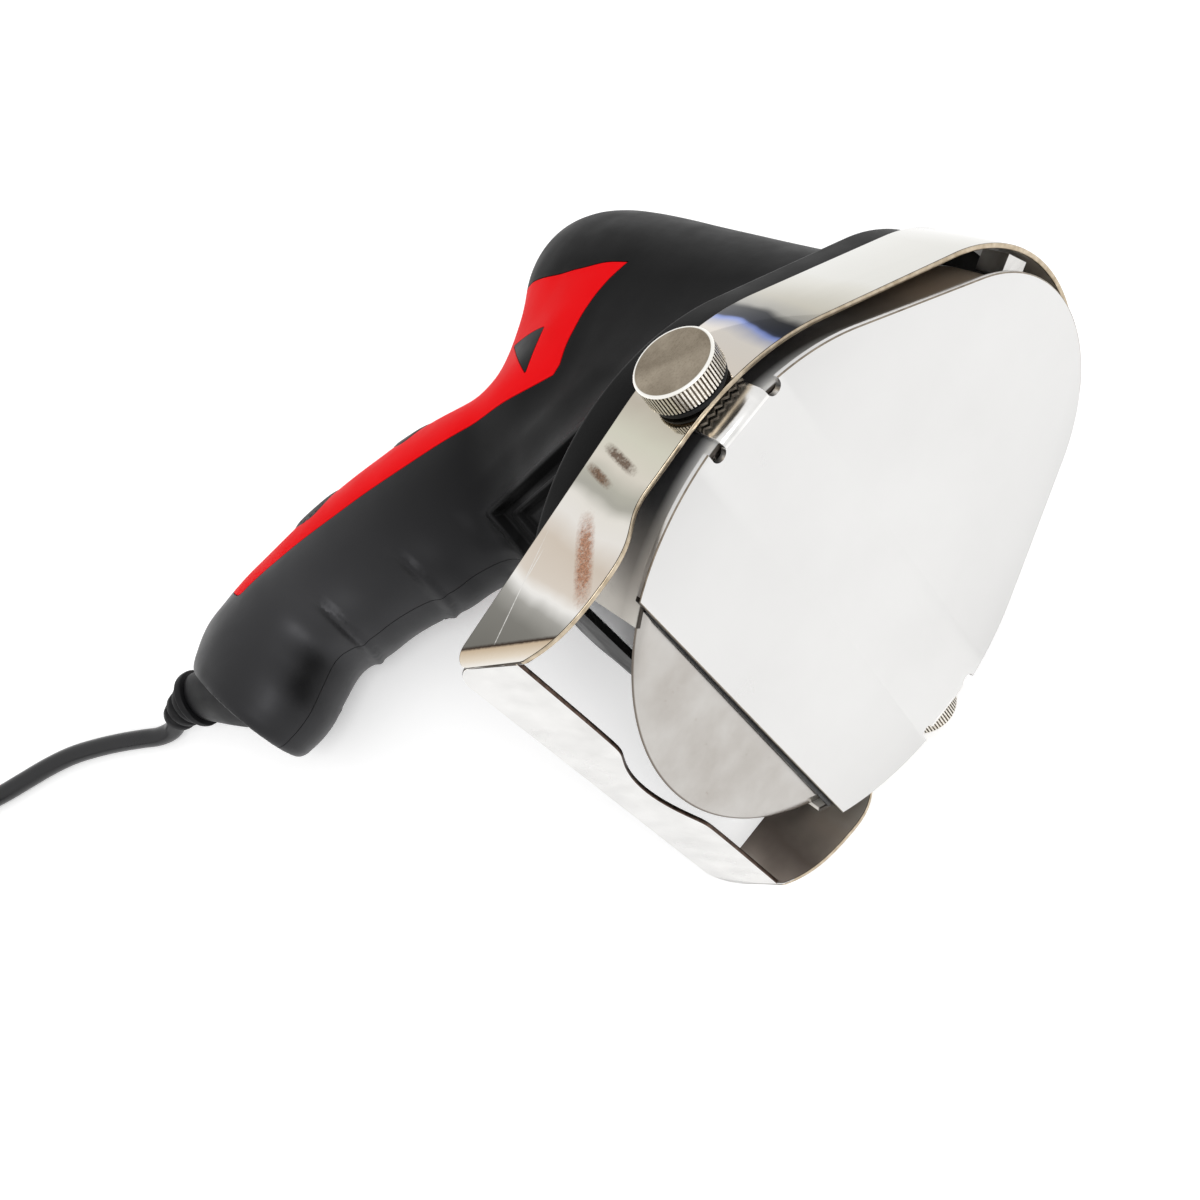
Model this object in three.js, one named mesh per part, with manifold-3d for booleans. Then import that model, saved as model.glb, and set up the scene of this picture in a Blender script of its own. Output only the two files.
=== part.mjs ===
// Electric kebab slicer: a pistol-shaped hand tool with a round blade behind a polished face plate.
// It lies on its right side, as it is put down between cuts. Sizes are in millimetres.
// The tool itself is built upright about the blade's centre: x to its right, y to its rear, z up.
import * as THREE from 'three';
import { mergeVertices } from 'three/addons/utils/BufferGeometryUtils.js';
import Module from 'manifold-3d';

const wasm = await Module();
wasm.setup();

// Gap between pieces that touch
const GAP = 0.3;

// How the tool lies: its nose is raised by the right thumb knob, and it leans a little on its spine
const NOSE_RAISE_DEG = 20.44;
const LIE_OVER_DEG = 89.95;

// Drive: the motor sits above the spindle, and both lie front to rear
const MOTOR_HEIGHT = 37;
const GEAR_MODULE = 1;
const GEAR_TEETH = 60;
const PINION_TEETH = 14;

// Blade
const BLADE_RADIUS = 49.5;
const BLADE_HALF = 0.5;
const BLADE_HOLE = 5.3;

// Egg outlines: a large arc about the spindle joined to a small arc about the motor axis
const PLATE_EGG = [53, 33];
const CUP_EGG = [50.9, 30.9];
const CASE_EGG = [52.6, 35.3];
const BAND_EGG = [55, 37.2];
const PLATE_CHORD = -30;
const CUP_CHORD = -33;
const BACK_CHORD = -34;
const CASE_CHORD = -35.4;
const CUP_WALL = 0.8;
const BAND_WALL = 1;

// Stations along the blade axis
const PLATE_FRONT = -3.2;
const PLATE_BACK = -2;
const CUP_FRONT = PLATE_BACK + GAP;
const CUP_REAR = 13;
const BACK_PLATE = [CUP_REAR + GAP, 14.5];
const CASE_FRONT = 14.8;
const CASE_FLOOR = 25;
const CASE_REAR = 28.5;
const BODY_FRONT = CASE_REAR + 0.4;
const BODY_WALL_REAR = 32;

// Thumb knobs, and the bent tabs of the face plate that they hold
const KNOB_Y = 7.8;
const KNOB_Z = 3;
const KNOB_RADIUS = 7.4;
const KNOB_OUT = 61.5;
const KNOB_IN = 56.8;
const SCREW_RADIUS = 2.1;
const TAB_OUT = 52.2;
const TAB_IN = 51.2;
const TAB_HALF = 5.6;
const TAB_REAR = 13;
const NOTCH_HALF = 1.5;
const NOTCH_BOTTOM = 49.4;

// Guide band: its slanted foot rides on the meat and sets the slice
const BAND_FRONT = 1.5;
const BAND_REAR = 18.5;
const SLICE_NOW = 2.7;
const SLICE_MAX = 5.5;
const FOOT_FRONT = [SLICE_NOW, -50];
const FOOT_REAR = [15, -58];
const FOOT_RELIEF = 52.6;
const WALL_TAPER_DEG = 4.9;
const WALL_END = -66;

// Body shells
const SHELL_WALL = 2.4;
const INLAY_POCKET = 1.6;
const INLAY_DEPTH = 1.3;
const FRONT_POWER = 2.1;
const SPINE_POWER = 1.8;

// Barrel sections: station y, lower radius and its height, upper radius and its height
const BARREL = [
  [BODY_FRONT, 40, 0, 29.5, 37],
  [45, 34.5, -1, 28, 37],
  [56, 30, -2.5, 27.6, 37],
  [68, 26.5, -4, 27.3, 37],
  [80, 23.5, -3, 27, 37],
  [92, 21, 2, 26.8, 37],
  [102, 19, 9, 26.2, 37.2],
  [111, 17.5, 16, 25, 37.6],
  [118, 15.5, 23, 23, 38.2],
  [124.5, 12.5, 29, 19.6, 39.2],
  [129, 9.5, 34, 15.4, 40.4],
  [132, 6, 38, 10, 41.5],
];

// Flat under the front of the barrel
const BARREL_UNDERSIDE = -35.3;

// Handle sections: height z, front y, rear y, half thickness
const HANDLE = [
  [-99.8, 103, 142.6, 15.2],
  [-99, 101.8, 144.2, 16.2],
  [-95.5, 100.8, 145.8, 16.8],
  [-90, 101, 148, 17.2],
  [-82, 104, 148.6, 17.6],
  [-74, 106.5, 147.8, 18.4],
  [-66, 102, 147.8, 18.5],
  [-51, 94.5, 145.8, 19],
  [-45, 89.5, 144.4, 19.3],
  [-38, 86.5, 141.8, 19.6],
  [-30, 81, 138.4, 20],
  [-22, 75, 134.6, 20.5],
  [-14, 71, 128.8, 21],
  [-6, 70, 120.5, 21.5],
  [2, 70, 113.5, 22],
  [12, 72, 110, 22],
  [24, 78, 108, 20],
];

// Red spine panel seen from the side: y, z
const RED_OUTLINE = [
  [83, 36.8], [89.3, 35.2], [96.4, 32.1], [104.8, 29.1], [120.7, 26.3], [160, 19], [160, -77], [135, -78.5],
  [130.6, -78], [128, -68.4], [124.8, -59.1], [119.9, -49.4], [114.8, -39.4], [109, -29.6], [100.4, -16.6],
  [91.6, -6.2], [84.2, 1.2], [80, 5.8], [80.4, 8.6], [83, 13.4], [84.5, 17.7], [85.7, 22.4], [85.8, 27],
  [85, 31.6],
];
const TRIANGLE = [[108.4, 10.7], [95.6, 15.8], [89.4, 3.7]];

// Chevron recess on each flank of the neck
const VENT = [[81.8, -26.3], [64.3, -28.7], [53, -30], [53, -6.4], [56.8, -9]];
const VENT_DEPTH = 1.4;

// Thumb switch and grip pad on the spine: height of the middle, half length, half width, travel
const SWITCH_Z = -19.5;
const SWITCH_HALF = [7.5, 5.5];
const SURROUND_Z = -16.2;
const SURROUND_SLOPE_DEG = 33;
const SURROUND_HALF = [10, 17];
const SADDLE_DEPTH = 18;
const SWITCH_TRAVEL = 5;
const SPINE_SLOPE_DEG = 29.5;
const PAD_Z = -48;
const PAD_SLOPE_DEG = 13;
const PAD_HALF = [12, 17];

// Shell screws: y, z and where the head seats
const SHELL_SCREWS = [[112, -86, 11], [101, -48, 10], [46, -20, 22], [118, 30, 14]];
const CASE_SCREWS = [[35.5, -8], [-35.5, -8], [20, 48], [-20, 48]];

// Cord and its way out of the butt
const CORD_DIAMETER = 5.2;
const CORD_RADIUS = CORD_DIAMETER / 2;
const GLAND_Y = 131;
const BUTT_END = HANDLE[0][0];
const COLLAR = new THREE.Vector3(0, 141.3, -106.2);
const COLLAR_RADIUS = 7.8;
const COLLAR_AXIS = new THREE.Vector3(0, 0.585, -0.811).normalize();
const BOOT_TURN = new THREE.Vector3(0.5, 0.5, -0.7).normalize();
const BOOT_LENGTH = 13;

// Where the free cord runs on the table, then the tied coil that takes up the rest of the lead
const CORD_ROUTE = [
  [-101.2, 82.2, 3], [-105, 86.2, 2.75], [-109.9, 91, 2.75], [-115.6, 96, 2.75], [-121.6, 100.5, 2.75],
  [-128.4, 104.2, 2.75], [-135.7, 107.3, 2.75], [-143.5, 110.6, 2.8], [-157, 118, 3.1],
];
const COIL_JOIN = new THREE.Vector3(-195.5, 140, 4.1);
const COIL_HEADING_DEG = 150.6;
const COIL_OUTER = 46.5;
const COIL_PITCH = 5.7;
const COIL_TURNS = 7.3317;
const COIL_TAIL = 30;
const TIE_TURN = 0.125;
const TIE_WALL = 1;
const PLUG_HALF_HEIGHT = 11.3;
const PIN_RADIUS = 2.4;
const PIN_SPACING = 19;

const steel = (roughness) => new THREE.MeshStandardMaterial({ color: 0xe4e3e0, roughness, metalness: 1 });
const darkSteel = () => new THREE.MeshStandardMaterial({ color: 0x8d8b88, roughness: 0.35, metalness: 1 });
const black = (roughness) => new THREE.MeshStandardMaterial({ color: 0x232324, roughness, metalness: 0 });
const red = () => new THREE.MeshStandardMaterial({ color: 0xe81c26, roughness: 0.5, metalness: 0 });
const copper = () => new THREE.MeshStandardMaterial({ color: 0xb9713c, roughness: 0.4, metalness: 1 });
const brass = () => new THREE.MeshStandardMaterial({ color: 0xc9a85a, roughness: 0.35, metalness: 1 });
const nickel = () => new THREE.MeshStandardMaterial({ color: 0xb4b0a6, roughness: 0.3, metalness: 1 });
const nylon = () => new THREE.MeshStandardMaterial({ color: 0xe6e2d6, roughness: 0.5, metalness: 0 });

// A closed three.js geometry as a solid, and a solid as a geometry
function solid(geometry) {
  const bare = new THREE.BufferGeometry();
  bare.setAttribute('position', geometry.getAttribute('position').clone());
  if (geometry.index) bare.setIndex(geometry.index.clone());
  const merged = mergeVertices(bare, 1e-4);
  const corners = merged.index.array;
  const kept = [];
  for (let i = 0; i < corners.length; i += 3) {
    const [a, b, c] = [corners[i], corners[i + 1], corners[i + 2]];
    if (a !== b && b !== c && c !== a) kept.push(a, b, c);
  }
  return new wasm.Manifold(new wasm.Mesh({
    numProp: 3,
    vertProperties: Float32Array.from(merged.getAttribute('position').array),
    triVerts: Uint32Array.from(kept),
  }));
}

function geometryOf(body) {
  const mesh = body.getMesh();
  const geometry = new THREE.BufferGeometry();
  geometry.setAttribute('position', new THREE.BufferAttribute(Float32Array.from(mesh.vertProperties), 3));
  geometry.setIndex(new THREE.BufferAttribute(Uint32Array.from(mesh.triVerts), 1));
  geometry.computeVertexNormals();
  return geometry;
}

const tool = new THREE.Group();
const cordParts = new THREE.Group();

function node(group, name, body, material) {
  const mesh = new THREE.Mesh(geometryOf(body), material);
  mesh.name = name;
  group.add(mesh);
  return mesh;
}

// Shapes drawn in x and z, drawn out from y0 to y1
function alongY(shape, y0, y1, curveSegments = 9) {
  const geometry = new THREE.ExtrudeGeometry(shape, { depth: y1 - y0, bevelEnabled: false, curveSegments });
  geometry.rotateX(Math.PI / 2);
  geometry.translate(0, y1, 0);
  return solid(geometry);
}

// Shapes drawn in y and z, drawn out from x0 to x1
function alongX(shape, x0, x1, curveSegments = 9) {
  const geometry = new THREE.ExtrudeGeometry(shape, { depth: x1 - x0, bevelEnabled: false, curveSegments });
  const turn = new THREE.Matrix4().makeBasis(
    new THREE.Vector3(0, 1, 0), new THREE.Vector3(0, 0, 1), new THREE.Vector3(1, 0, 0));
  geometry.applyMatrix4(turn);
  geometry.translate(x0, 0, 0);
  return solid(geometry);
}

const polygon = (points) => new THREE.Shape(points.map(([u, v]) => new THREE.Vector2(u, v)));

function rodY(radius, y0, y1, x = 0, z = 0, sides = 24) {
  const geometry = new THREE.CylinderGeometry(radius, radius, y1 - y0, sides);
  geometry.translate(x, (y0 + y1) / 2, z);
  return solid(geometry);
}

function rodX(radius, x0, x1, y, z, sides = 16) {
  const geometry = new THREE.CylinderGeometry(radius, radius, x1 - x0, sides);
  geometry.rotateZ(Math.PI / 2);
  geometry.translate((x0 + x1) / 2, y, z);
  return solid(geometry);
}

function block(x0, x1, y0, y1, z0, z1) {
  const geometry = new THREE.BoxGeometry(x1 - x0, y1 - y0, z1 - z0);
  geometry.translate((x0 + x1) / 2, (y0 + y1) / 2, (z0 + z1) / 2);
  return solid(geometry);
}

// A turned piece about the front-to-rear axis at height z: radius and y of each profile point
function turned(profile, z = 0, sides = 16) {
  const geometry = new THREE.LatheGeometry(profile.map(([r, y]) => new THREE.Vector2(r, y)), sides);
  geometry.translate(0, 0, z);
  const body = solid(geometry);
  return body.volume() < 0 ? solid(flipped(geometry)) : body;
}

function flipped(geometry) {
  const copy = geometry.index ? geometry.toNonIndexed() : geometry.clone();
  const position = copy.getAttribute('position');
  const swap = new THREE.Vector3();
  const keep = new THREE.Vector3();
  for (let i = 0; i < position.count; i += 3) {
    swap.fromBufferAttribute(position, i + 1);
    keep.fromBufferAttribute(position, i + 2);
    position.setXYZ(i + 1, keep.x, keep.y, keep.z);
    position.setXYZ(i + 2, swap.x, swap.y, swap.z);
  }
  return copy;
}

function ring(inner, outer, y0, y1, z = 0, sides = 14) {
  return rodY(outer, y0, y1, 0, z, sides).subtract(rodY(inner, y0 - 1, y1 + 1, 0, z, sides));
}

// A closed skin over rings of equally many points, with flat ends
function loft(rings) {
  const count = rings[0].length;
  const vertices = rings.flat();
  const triangles = [];
  for (let i = 0; i + 1 < rings.length; i += 1) {
    for (let j = 0; j < count; j += 1) {
      const a = i * count + j;
      const b = i * count + (j + 1) % count;
      triangles.push(a, b, b + count, a, b + count, a + count);
    }
  }
  const last = (rings.length - 1) * count;
  for (let j = 1; j + 1 < count; j += 1) {
    triangles.push(0, j + 1, j);
    triangles.push(last, last + j, last + j + 1);
  }
  const geometry = new THREE.BufferGeometry();
  const flat = vertices.flatMap((p) => [p.x, p.y, p.z]);
  geometry.setAttribute('position', new THREE.Float32BufferAttribute(flat, 3));
  geometry.setIndex(triangles);
  const body = solid(geometry);
  return body.volume() < 0 ? solid(flipped(geometry)) : body;
}

// Egg outline, cut straight below at the chord when one is given
function egg([lower, upper], chord) {
  const join = Math.PI / 2 - Math.acos((lower - upper) / MOTOR_HEIGHT);
  const start = chord === undefined ? -Math.PI / 2 : Math.asin(chord / lower);
  const shape = new THREE.Shape();
  shape.absarc(0, 0, lower, start, join, false);
  shape.absarc(0, MOTOR_HEIGHT, upper, join, Math.PI - join, false);
  shape.absarc(0, 0, lower, Math.PI - join, Math.PI - start, false);
  return shape;
}

const inset = ([lower, upper], wall) => [lower - wall, upper - wall];

// Arch of the guide band with slightly drawn-in straight walls
function arch([lower, upper]) {
  const join = Math.PI / 2 - Math.acos((lower - upper) / MOTOR_HEIGHT);
  const taper = THREE.MathUtils.degToRad(WALL_TAPER_DEG);
  const leaveX = lower * Math.cos(taper);
  const leaveZ = -lower * Math.sin(taper);
  const endX = leaveX - (leaveZ - WALL_END) * Math.tan(taper);
  const shape = new THREE.Shape();
  shape.moveTo(endX, WALL_END);
  shape.lineTo(leaveX, leaveZ);
  shape.absarc(0, 0, lower, -taper, join, false);
  shape.absarc(0, MOTOR_HEIGHT, upper, join, Math.PI - join, false);
  shape.absarc(0, 0, lower, Math.PI - join, Math.PI + taper, false);
  shape.lineTo(-endX, WALL_END);
  return shape;
}

// Side outline of the guide band: straight arch, wider cheeks below, slanted lower edge
function bandSide() {
  const shape = new THREE.Shape();
  shape.moveTo(BAND_FRONT, 90);
  shape.lineTo(BAND_FRONT, -16);
  shape.bezierCurveTo(BAND_FRONT, -22, -2.6, -22, -2.8, -30);
  shape.bezierCurveTo(-3, -41, -1.2, -45, FOOT_FRONT[0] - 1.2, FOOT_FRONT[1] + 0.8);
  shape.lineTo(FOOT_REAR[0], FOOT_REAR[1]);
  shape.lineTo(FOOT_REAR[0] + 0.8, FOOT_REAR[1] + 3);
  shape.lineTo(BAND_REAR, 4);
  shape.lineTo(BAND_REAR, 90);
  return shape;
}

function guideBand() {
  const loop = alongY(arch(BAND_EGG), -20, 40, 8)
    .subtract(alongY(arch(inset(BAND_EGG, BAND_WALL)), -30, 50, 8));
  const cheeks = loop.intersect(alongX(bandSide(), -70, 70, 5));
  const slope = Math.hypot(FOOT_REAR[0] - FOOT_FRONT[0], FOOT_REAR[1] - FOOT_FRONT[1]);
  const across = (FOOT_REAR[0] - FOOT_FRONT[0]) / slope;
  const down = (FOOT_FRONT[1] - FOOT_REAR[1]) / slope;
  const lift = [down * BAND_WALL, across * BAND_WALL];
  const foot = alongX(polygon([
    FOOT_FRONT, FOOT_REAR,
    [FOOT_REAR[0] + lift[0], FOOT_REAR[1] + lift[1]],
    [FOOT_FRONT[0] + lift[0], FOOT_FRONT[1] + lift[1]],
  ]), -60, 60).intersect(alongY(arch(inset(BAND_EGG, BAND_WALL / 2)), -20, 40, 9));
  const relief = rodY(FOOT_RELIEF, -12, 12, 0, 0, 60);
  let band = cheeks.add(foot).subtract(relief);
  for (const side of [-1, 1]) band = band.subtract(bandSlot(side));
  return band;
}

// Slot in the band that lets it slide on the knob's screw
function bandSlot(side) {
  const reach = SCREW_RADIUS + GAP;
  const ends = [KNOB_Y - (SLICE_MAX - SLICE_NOW), KNOB_Y + SLICE_NOW];
  const shape = new THREE.Shape();
  shape.absarc(ends[0], KNOB_Z, reach, Math.PI / 2, 1.5 * Math.PI, false);
  shape.absarc(ends[1], KNOB_Z, reach, -Math.PI / 2, Math.PI / 2, false);
  const near = BAND_EGG[0] - 4;
  const far = BAND_EGG[0] + 4;
  return side > 0 ? alongX(shape, near, far, 6) : alongX(shape, -far, -near, 6);
}

function facePlate() {
  let plate = alongY(egg(PLATE_EGG, PLATE_CHORD), PLATE_FRONT, PLATE_BACK, 10);
  for (const side of [-1, 1]) {
    const outer = side * (TAB_OUT + 8);
    const edge = side * TAB_OUT;
    const [trim0, trim1] = [Math.min(edge, outer), Math.max(edge, outer)];
    const trim = block(trim0, trim1, -8, 0, KNOB_Z - TAB_HALF, KNOB_Z + TAB_HALF);
    plate = plate.subtract(trim);
    for (const end of [-1, 1]) {
      const z = KNOB_Z + end * (TAB_HALF + NOTCH_HALF);
      const foot = side * (NOTCH_BOTTOM + NOTCH_HALF);
      plate = plate.subtract(rodY(NOTCH_HALF, -8, 0, foot, z, 12));
      const [notch0, notch1] = [Math.min(foot, outer), Math.max(foot, outer)];
      plate = plate.subtract(block(notch0, notch1, -8, 0, z - NOTCH_HALF, z + NOTCH_HALF));
    }
    const near = Math.min(side * TAB_IN, edge);
    const far = Math.max(side * TAB_IN, edge);
    const tab = block(near, far, PLATE_FRONT, TAB_REAR, KNOB_Z - TAB_HALF, KNOB_Z + TAB_HALF);
    const hole = rodX(SCREW_RADIUS + GAP, near - 1, far + 1, KNOB_Y, KNOB_Z);
    plate = plate.add(tab).subtract(hole);
  }
  return plate;
}

function guardRing() {
  let wall = alongY(egg(CUP_EGG, CUP_CHORD), CUP_FRONT, CUP_REAR, 7)
    .subtract(alongY(egg(inset(CUP_EGG, CUP_WALL)), -10, 30, 9))
    .subtract(block(-80, 80, -10, 30, -90, CUP_CHORD));
  for (const side of [-1, 1]) {
    const x = side * CUP_EGG[0];
    wall = wall.subtract(rodX(SCREW_RADIUS + GAP, x - 4, x + 4, KNOB_Y, KNOB_Z));
  }
  return wall;
}

// Nut on the ring's inner wall that takes the knob's screw, its back bent to the wall
function ringNut(side) {
  const inner = CUP_EGG[0] - CUP_WALL - GAP;
  const corners = [];
  for (let i = 0; i < 6; i += 1) {
    const angle = i * Math.PI / 3;
    corners.push([KNOB_Y + 4 * Math.cos(angle), KNOB_Z + 4 * Math.sin(angle)]);
  }
  const hex = polygon(corners);
  const far = inner - 0.3;
  const near = far - 2.4;
  const body = side > 0 ? alongX(hex, near, far) : alongX(hex, -far, -near);
  return body.subtract(rodX(SCREW_RADIUS + GAP, side * far - 6, side * far + 6, KNOB_Y, KNOB_Z));
}

// Serrated plate between tab and band
function clampPlate(side) {
  const near = TAB_OUT + GAP;
  const far = near + 0.55;
  const shape = new THREE.Shape();
  const teeth = 6;
  const front = KNOB_Y - 6.2;
  shape.moveTo(KNOB_Y + 4.5, KNOB_Z - TAB_HALF);
  shape.lineTo(KNOB_Y + 4.5, KNOB_Z + TAB_HALF);
  for (let i = 0; i < teeth; i += 1) {
    const top = KNOB_Z + TAB_HALF - i * 2 * TAB_HALF / teeth;
    shape.lineTo(front, top);
    shape.lineTo(front + 0.8, top - TAB_HALF / teeth);
  }
  shape.lineTo(front, KNOB_Z - TAB_HALF);
  const body = side > 0 ? alongX(shape, near, far) : alongX(shape, -far, -near);
  return body.subtract(rodX(SCREW_RADIUS + GAP, side * near - 4, side * near + 4, KNOB_Y, KNOB_Z));
}

// Thumb knob with chamfered head and screw, turned about x
function knob(side) {
  const profile = [
    [0, KNOB_OUT - 12.9], [SCREW_RADIUS, KNOB_OUT - 12.9], [SCREW_RADIUS, KNOB_IN],
    [KNOB_RADIUS - 0.5, KNOB_IN], [KNOB_RADIUS, KNOB_IN + 0.5], [KNOB_RADIUS, KNOB_OUT - 0.6],
    [KNOB_RADIUS - 0.6, KNOB_OUT], [0, KNOB_OUT],
  ];
  const geometry = new THREE.LatheGeometry(profile.map(([r, y]) => new THREE.Vector2(r, y)), 24);
  geometry.rotateZ(-side * Math.PI / 2);
  geometry.translate(0, KNOB_Y, KNOB_Z);
  const body = solid(geometry);
  return body.volume() < 0 ? solid(flipped(geometry)) : body;
}

function knobWasher(side) {
  const near = BAND_EGG[0] + GAP;
  const far = KNOB_IN - GAP;
  const [x0, x1] = side > 0 ? [near, far] : [-far, -near];
  return rodX(KNOB_RADIUS - 0.4, x0, x1, KNOB_Y, KNOB_Z, 24)
    .subtract(rodX(SCREW_RADIUS + GAP, x0 - 1, x1 + 1, KNOB_Y, KNOB_Z));
}

// Lug on the ring's crown that keeps the band's arch in line
function crownLug(side) {
  const geometry = new THREE.BoxGeometry(6, 6, 4);
  geometry.translate(0, 6, CUP_EGG[1] + GAP + 2.2);
  geometry.rotateY(side * THREE.MathUtils.degToRad(28));
  geometry.translate(0, 0, MOTOR_HEIGHT);
  return solid(geometry);
}

// Spur gear outline with slightly thin teeth
function gearShape(teeth, turn) {
  const pitch = teeth * GEAR_MODULE / 2;
  const rootRadius = pitch - 1.25 * GEAR_MODULE;
  const tipRadius = pitch + GEAR_MODULE;
  const outline = [];
  for (let i = 0; i < teeth; i += 1) {
    const middle = turn + i * 2 * Math.PI / teeth;
    const points = [[rootRadius, -1.02], [tipRadius, -0.34], [tipRadius, 0.34], [rootRadius, 1.02]];
    for (const [radius, half] of points) {
      const angle = middle + half * GEAR_MODULE / radius;
      outline.push([radius * Math.cos(angle), radius * Math.sin(angle)]);
    }
  }
  return polygon(outline);
}

function gear(teeth, turn, y0, y1, bore, z) {
  const body = alongY(gearShape(teeth, turn), y0, y1).translate([0, 0, z]);
  return body.subtract(rodY(bore, y0 - 1, y1 + 1, 0, z, 14));
}

// Barrel and handle, drawn in by the given depth; the barrel may start further back
function barrelRings(depth, start, sides) {
  return BARREL.map(([y, lower, lowerZ, upper, upperZ], i) => {
    const points = [];
    const squeeze = (BARREL.at(-1)[0] - depth - start) / (BARREL.at(-1)[0] - BODY_FRONT);
    const place = start + (y - BODY_FRONT) * squeeze;
    for (let j = 0; j < sides; j += 1) {
      const angle = 2 * Math.PI * j / sides;
      const outward = [Math.sin(angle), Math.cos(angle)];
      const useLower = lowerZ * outward[1] + lower > upperZ * outward[1] + upper;
      const radius = (useLower ? lower : upper) - depth;
      const middle = useLower ? lowerZ : upperZ;
      points.push(new THREE.Vector3(radius * outward[0], place, middle + radius * outward[1]));
    }
    return points;
  });
}

function handleRings(depth, sides) {
  const bottom = HANDLE[0][0];
  return HANDLE.map(([z, front, rear, half]) => {
    const points = [];
    const middle = (front + rear) / 2;
    const deep = (rear - front) / 2 - depth;
    const thick = half - depth;
    for (let j = 0; j < sides; j += 1) {
      const angle = 2 * Math.PI * j / sides;
      const power = Math.sin(angle) > 0 ? SPINE_POWER : FRONT_POWER;
      const swell = (value) => Math.sign(value) * Math.abs(value) ** (2 / power);
      const height = z < bottom + 10 ? Math.max(z, bottom) + depth * (bottom + 10 - z) / 10 : z;
      const [x, y] = [thick * swell(Math.cos(angle)), middle + deep * swell(Math.sin(angle))];
      points.push(new THREE.Vector3(x, y, height));
    }
    return points;
  });
}

function bodyForm(depth, start = BODY_FRONT, sides = 20) {
  const below = block(-60, 60, 0, 60, -90, BARREL_UNDERSIDE + depth);
  return loft(barrelRings(depth, start, sides)).subtract(below).add(loft(handleRings(depth, sides)));
}

const outerBody = bodyForm(0);
const innerBody = bodyForm(SHELL_WALL, BODY_WALL_REAR, 12);
const pocketBody = bodyForm(INLAY_POCKET, BODY_FRONT - 1, 12);
const inlayBody = bodyForm(INLAY_DEPTH, BODY_FRONT - 1, 12);
const swollenBody = bodyForm(-3, BODY_FRONT - 2, 12);
const skin = swollenBody.subtract(pocketBody);
const inlaySkin = outerBody.subtract(inlayBody);

// An outline moved outwards by a distance, square to its edges
function swollen(points, by) {
  const count = points.length;
  const area = points.reduce((sum, [y, z], i) => {
    const [nextY, nextZ] = points[(i + 1) % count];
    return sum + y * nextZ - z * nextY;
  }, 0);
  const edgeNormal = ([y0, z0], [y1, z1]) => {
    const reach = Math.hypot(y1 - y0, z1 - z0) * Math.sign(area);
    return [(z1 - z0) / reach, (y0 - y1) / reach];
  };
  return points.map((point, i) => {
    const before = edgeNormal(points[(i + count - 1) % count], point);
    const after = edgeNormal(point, points[(i + 1) % count]);
    const share = by / (1 + before[0] * after[0] + before[1] * after[1]);
    return [point[0] + share * (before[0] + after[0]), point[1] + share * (before[1] + after[1])];
  });
}

// Spine point, inward and along directions at a given height
function spineFrame(z, slopeDeg) {
  const upper = HANDLE.findIndex((section) => section[0] > z);
  const [z0, , rear0] = HANDLE[upper - 1];
  const [z1, , rear1] = HANDLE[upper];
  const y = rear0 + (rear1 - rear0) * (z - z0) / (z1 - z0);
  const slope = THREE.MathUtils.degToRad(slopeDeg);
  return { y, z, along: [-Math.sin(slope), Math.cos(slope)], out: [Math.cos(slope), Math.sin(slope)] };
}

// An elliptic prism square to the spine
function spinePrism(frame, halfLength, halfWidth, inward, outward) {
  const shape = new THREE.Shape();
  shape.absellipse(0, 0, halfWidth, halfLength, 0, 2 * Math.PI, false, 0);
  const options = { depth: inward + outward, bevelEnabled: false, curveSegments: 9 };
  const geometry = new THREE.ExtrudeGeometry(shape, options);
  geometry.translate(0, 0, -inward);
  const basis = new THREE.Matrix4().makeBasis(
    new THREE.Vector3(-1, 0, 0),
    new THREE.Vector3(0, frame.along[0], frame.along[1]),
    new THREE.Vector3(0, frame.out[0], frame.out[1]));
  geometry.applyMatrix4(basis);
  geometry.translate(0, frame.y, frame.z);
  return solid(geometry);
}

// A box square to the spine, its along range measured from the switch's rest place
function spineBox(frame, halfWidth, along0, along1, inward, outward) {
  const corner = (a, o) => [
    frame.y + a * frame.along[0] + o * frame.out[0],
    frame.z + a * frame.along[1] + o * frame.out[1],
  ];
  const points = [
    corner(along0, -inward), corner(along1, -inward), corner(along1, outward), corner(along0, outward),
  ];
  return alongX(polygon(points.reverse()), -halfWidth, halfWidth);
}

const switchFrame = spineFrame(SWITCH_Z, SPINE_SLOPE_DEG);
const surroundFrame = spineFrame(SURROUND_Z, SURROUND_SLOPE_DEG);
const padFrame = spineFrame(PAD_Z, PAD_SLOPE_DEG);
const switchSlot = spineBox(switchFrame, 2.2, -2.6, 2.6 + SWITCH_TRAVEL, 12, 6);
const trianglePrism = (by) => alongX(polygon(swollen(TRIANGLE, by)), -60, 60);
const redPrism = (by) => alongX(polygon(by ? swollen(RED_OUTLINE, by) : RED_OUTLINE), -60, 60);
const padRecess = swollenBody.subtract(bodyForm(0.8, BODY_FRONT - 1))
  .intersect(spinePrism(padFrame, PAD_HALF[0] + GAP, PAD_HALF[1] + GAP, SADDLE_DEPTH, 6));

const ventSkin = swollenBody.subtract(bodyForm(VENT_DEPTH, BODY_FRONT - 1));
const ventRecess = alongX(polygon(VENT), -60, 60).intersect(ventSkin);

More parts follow.
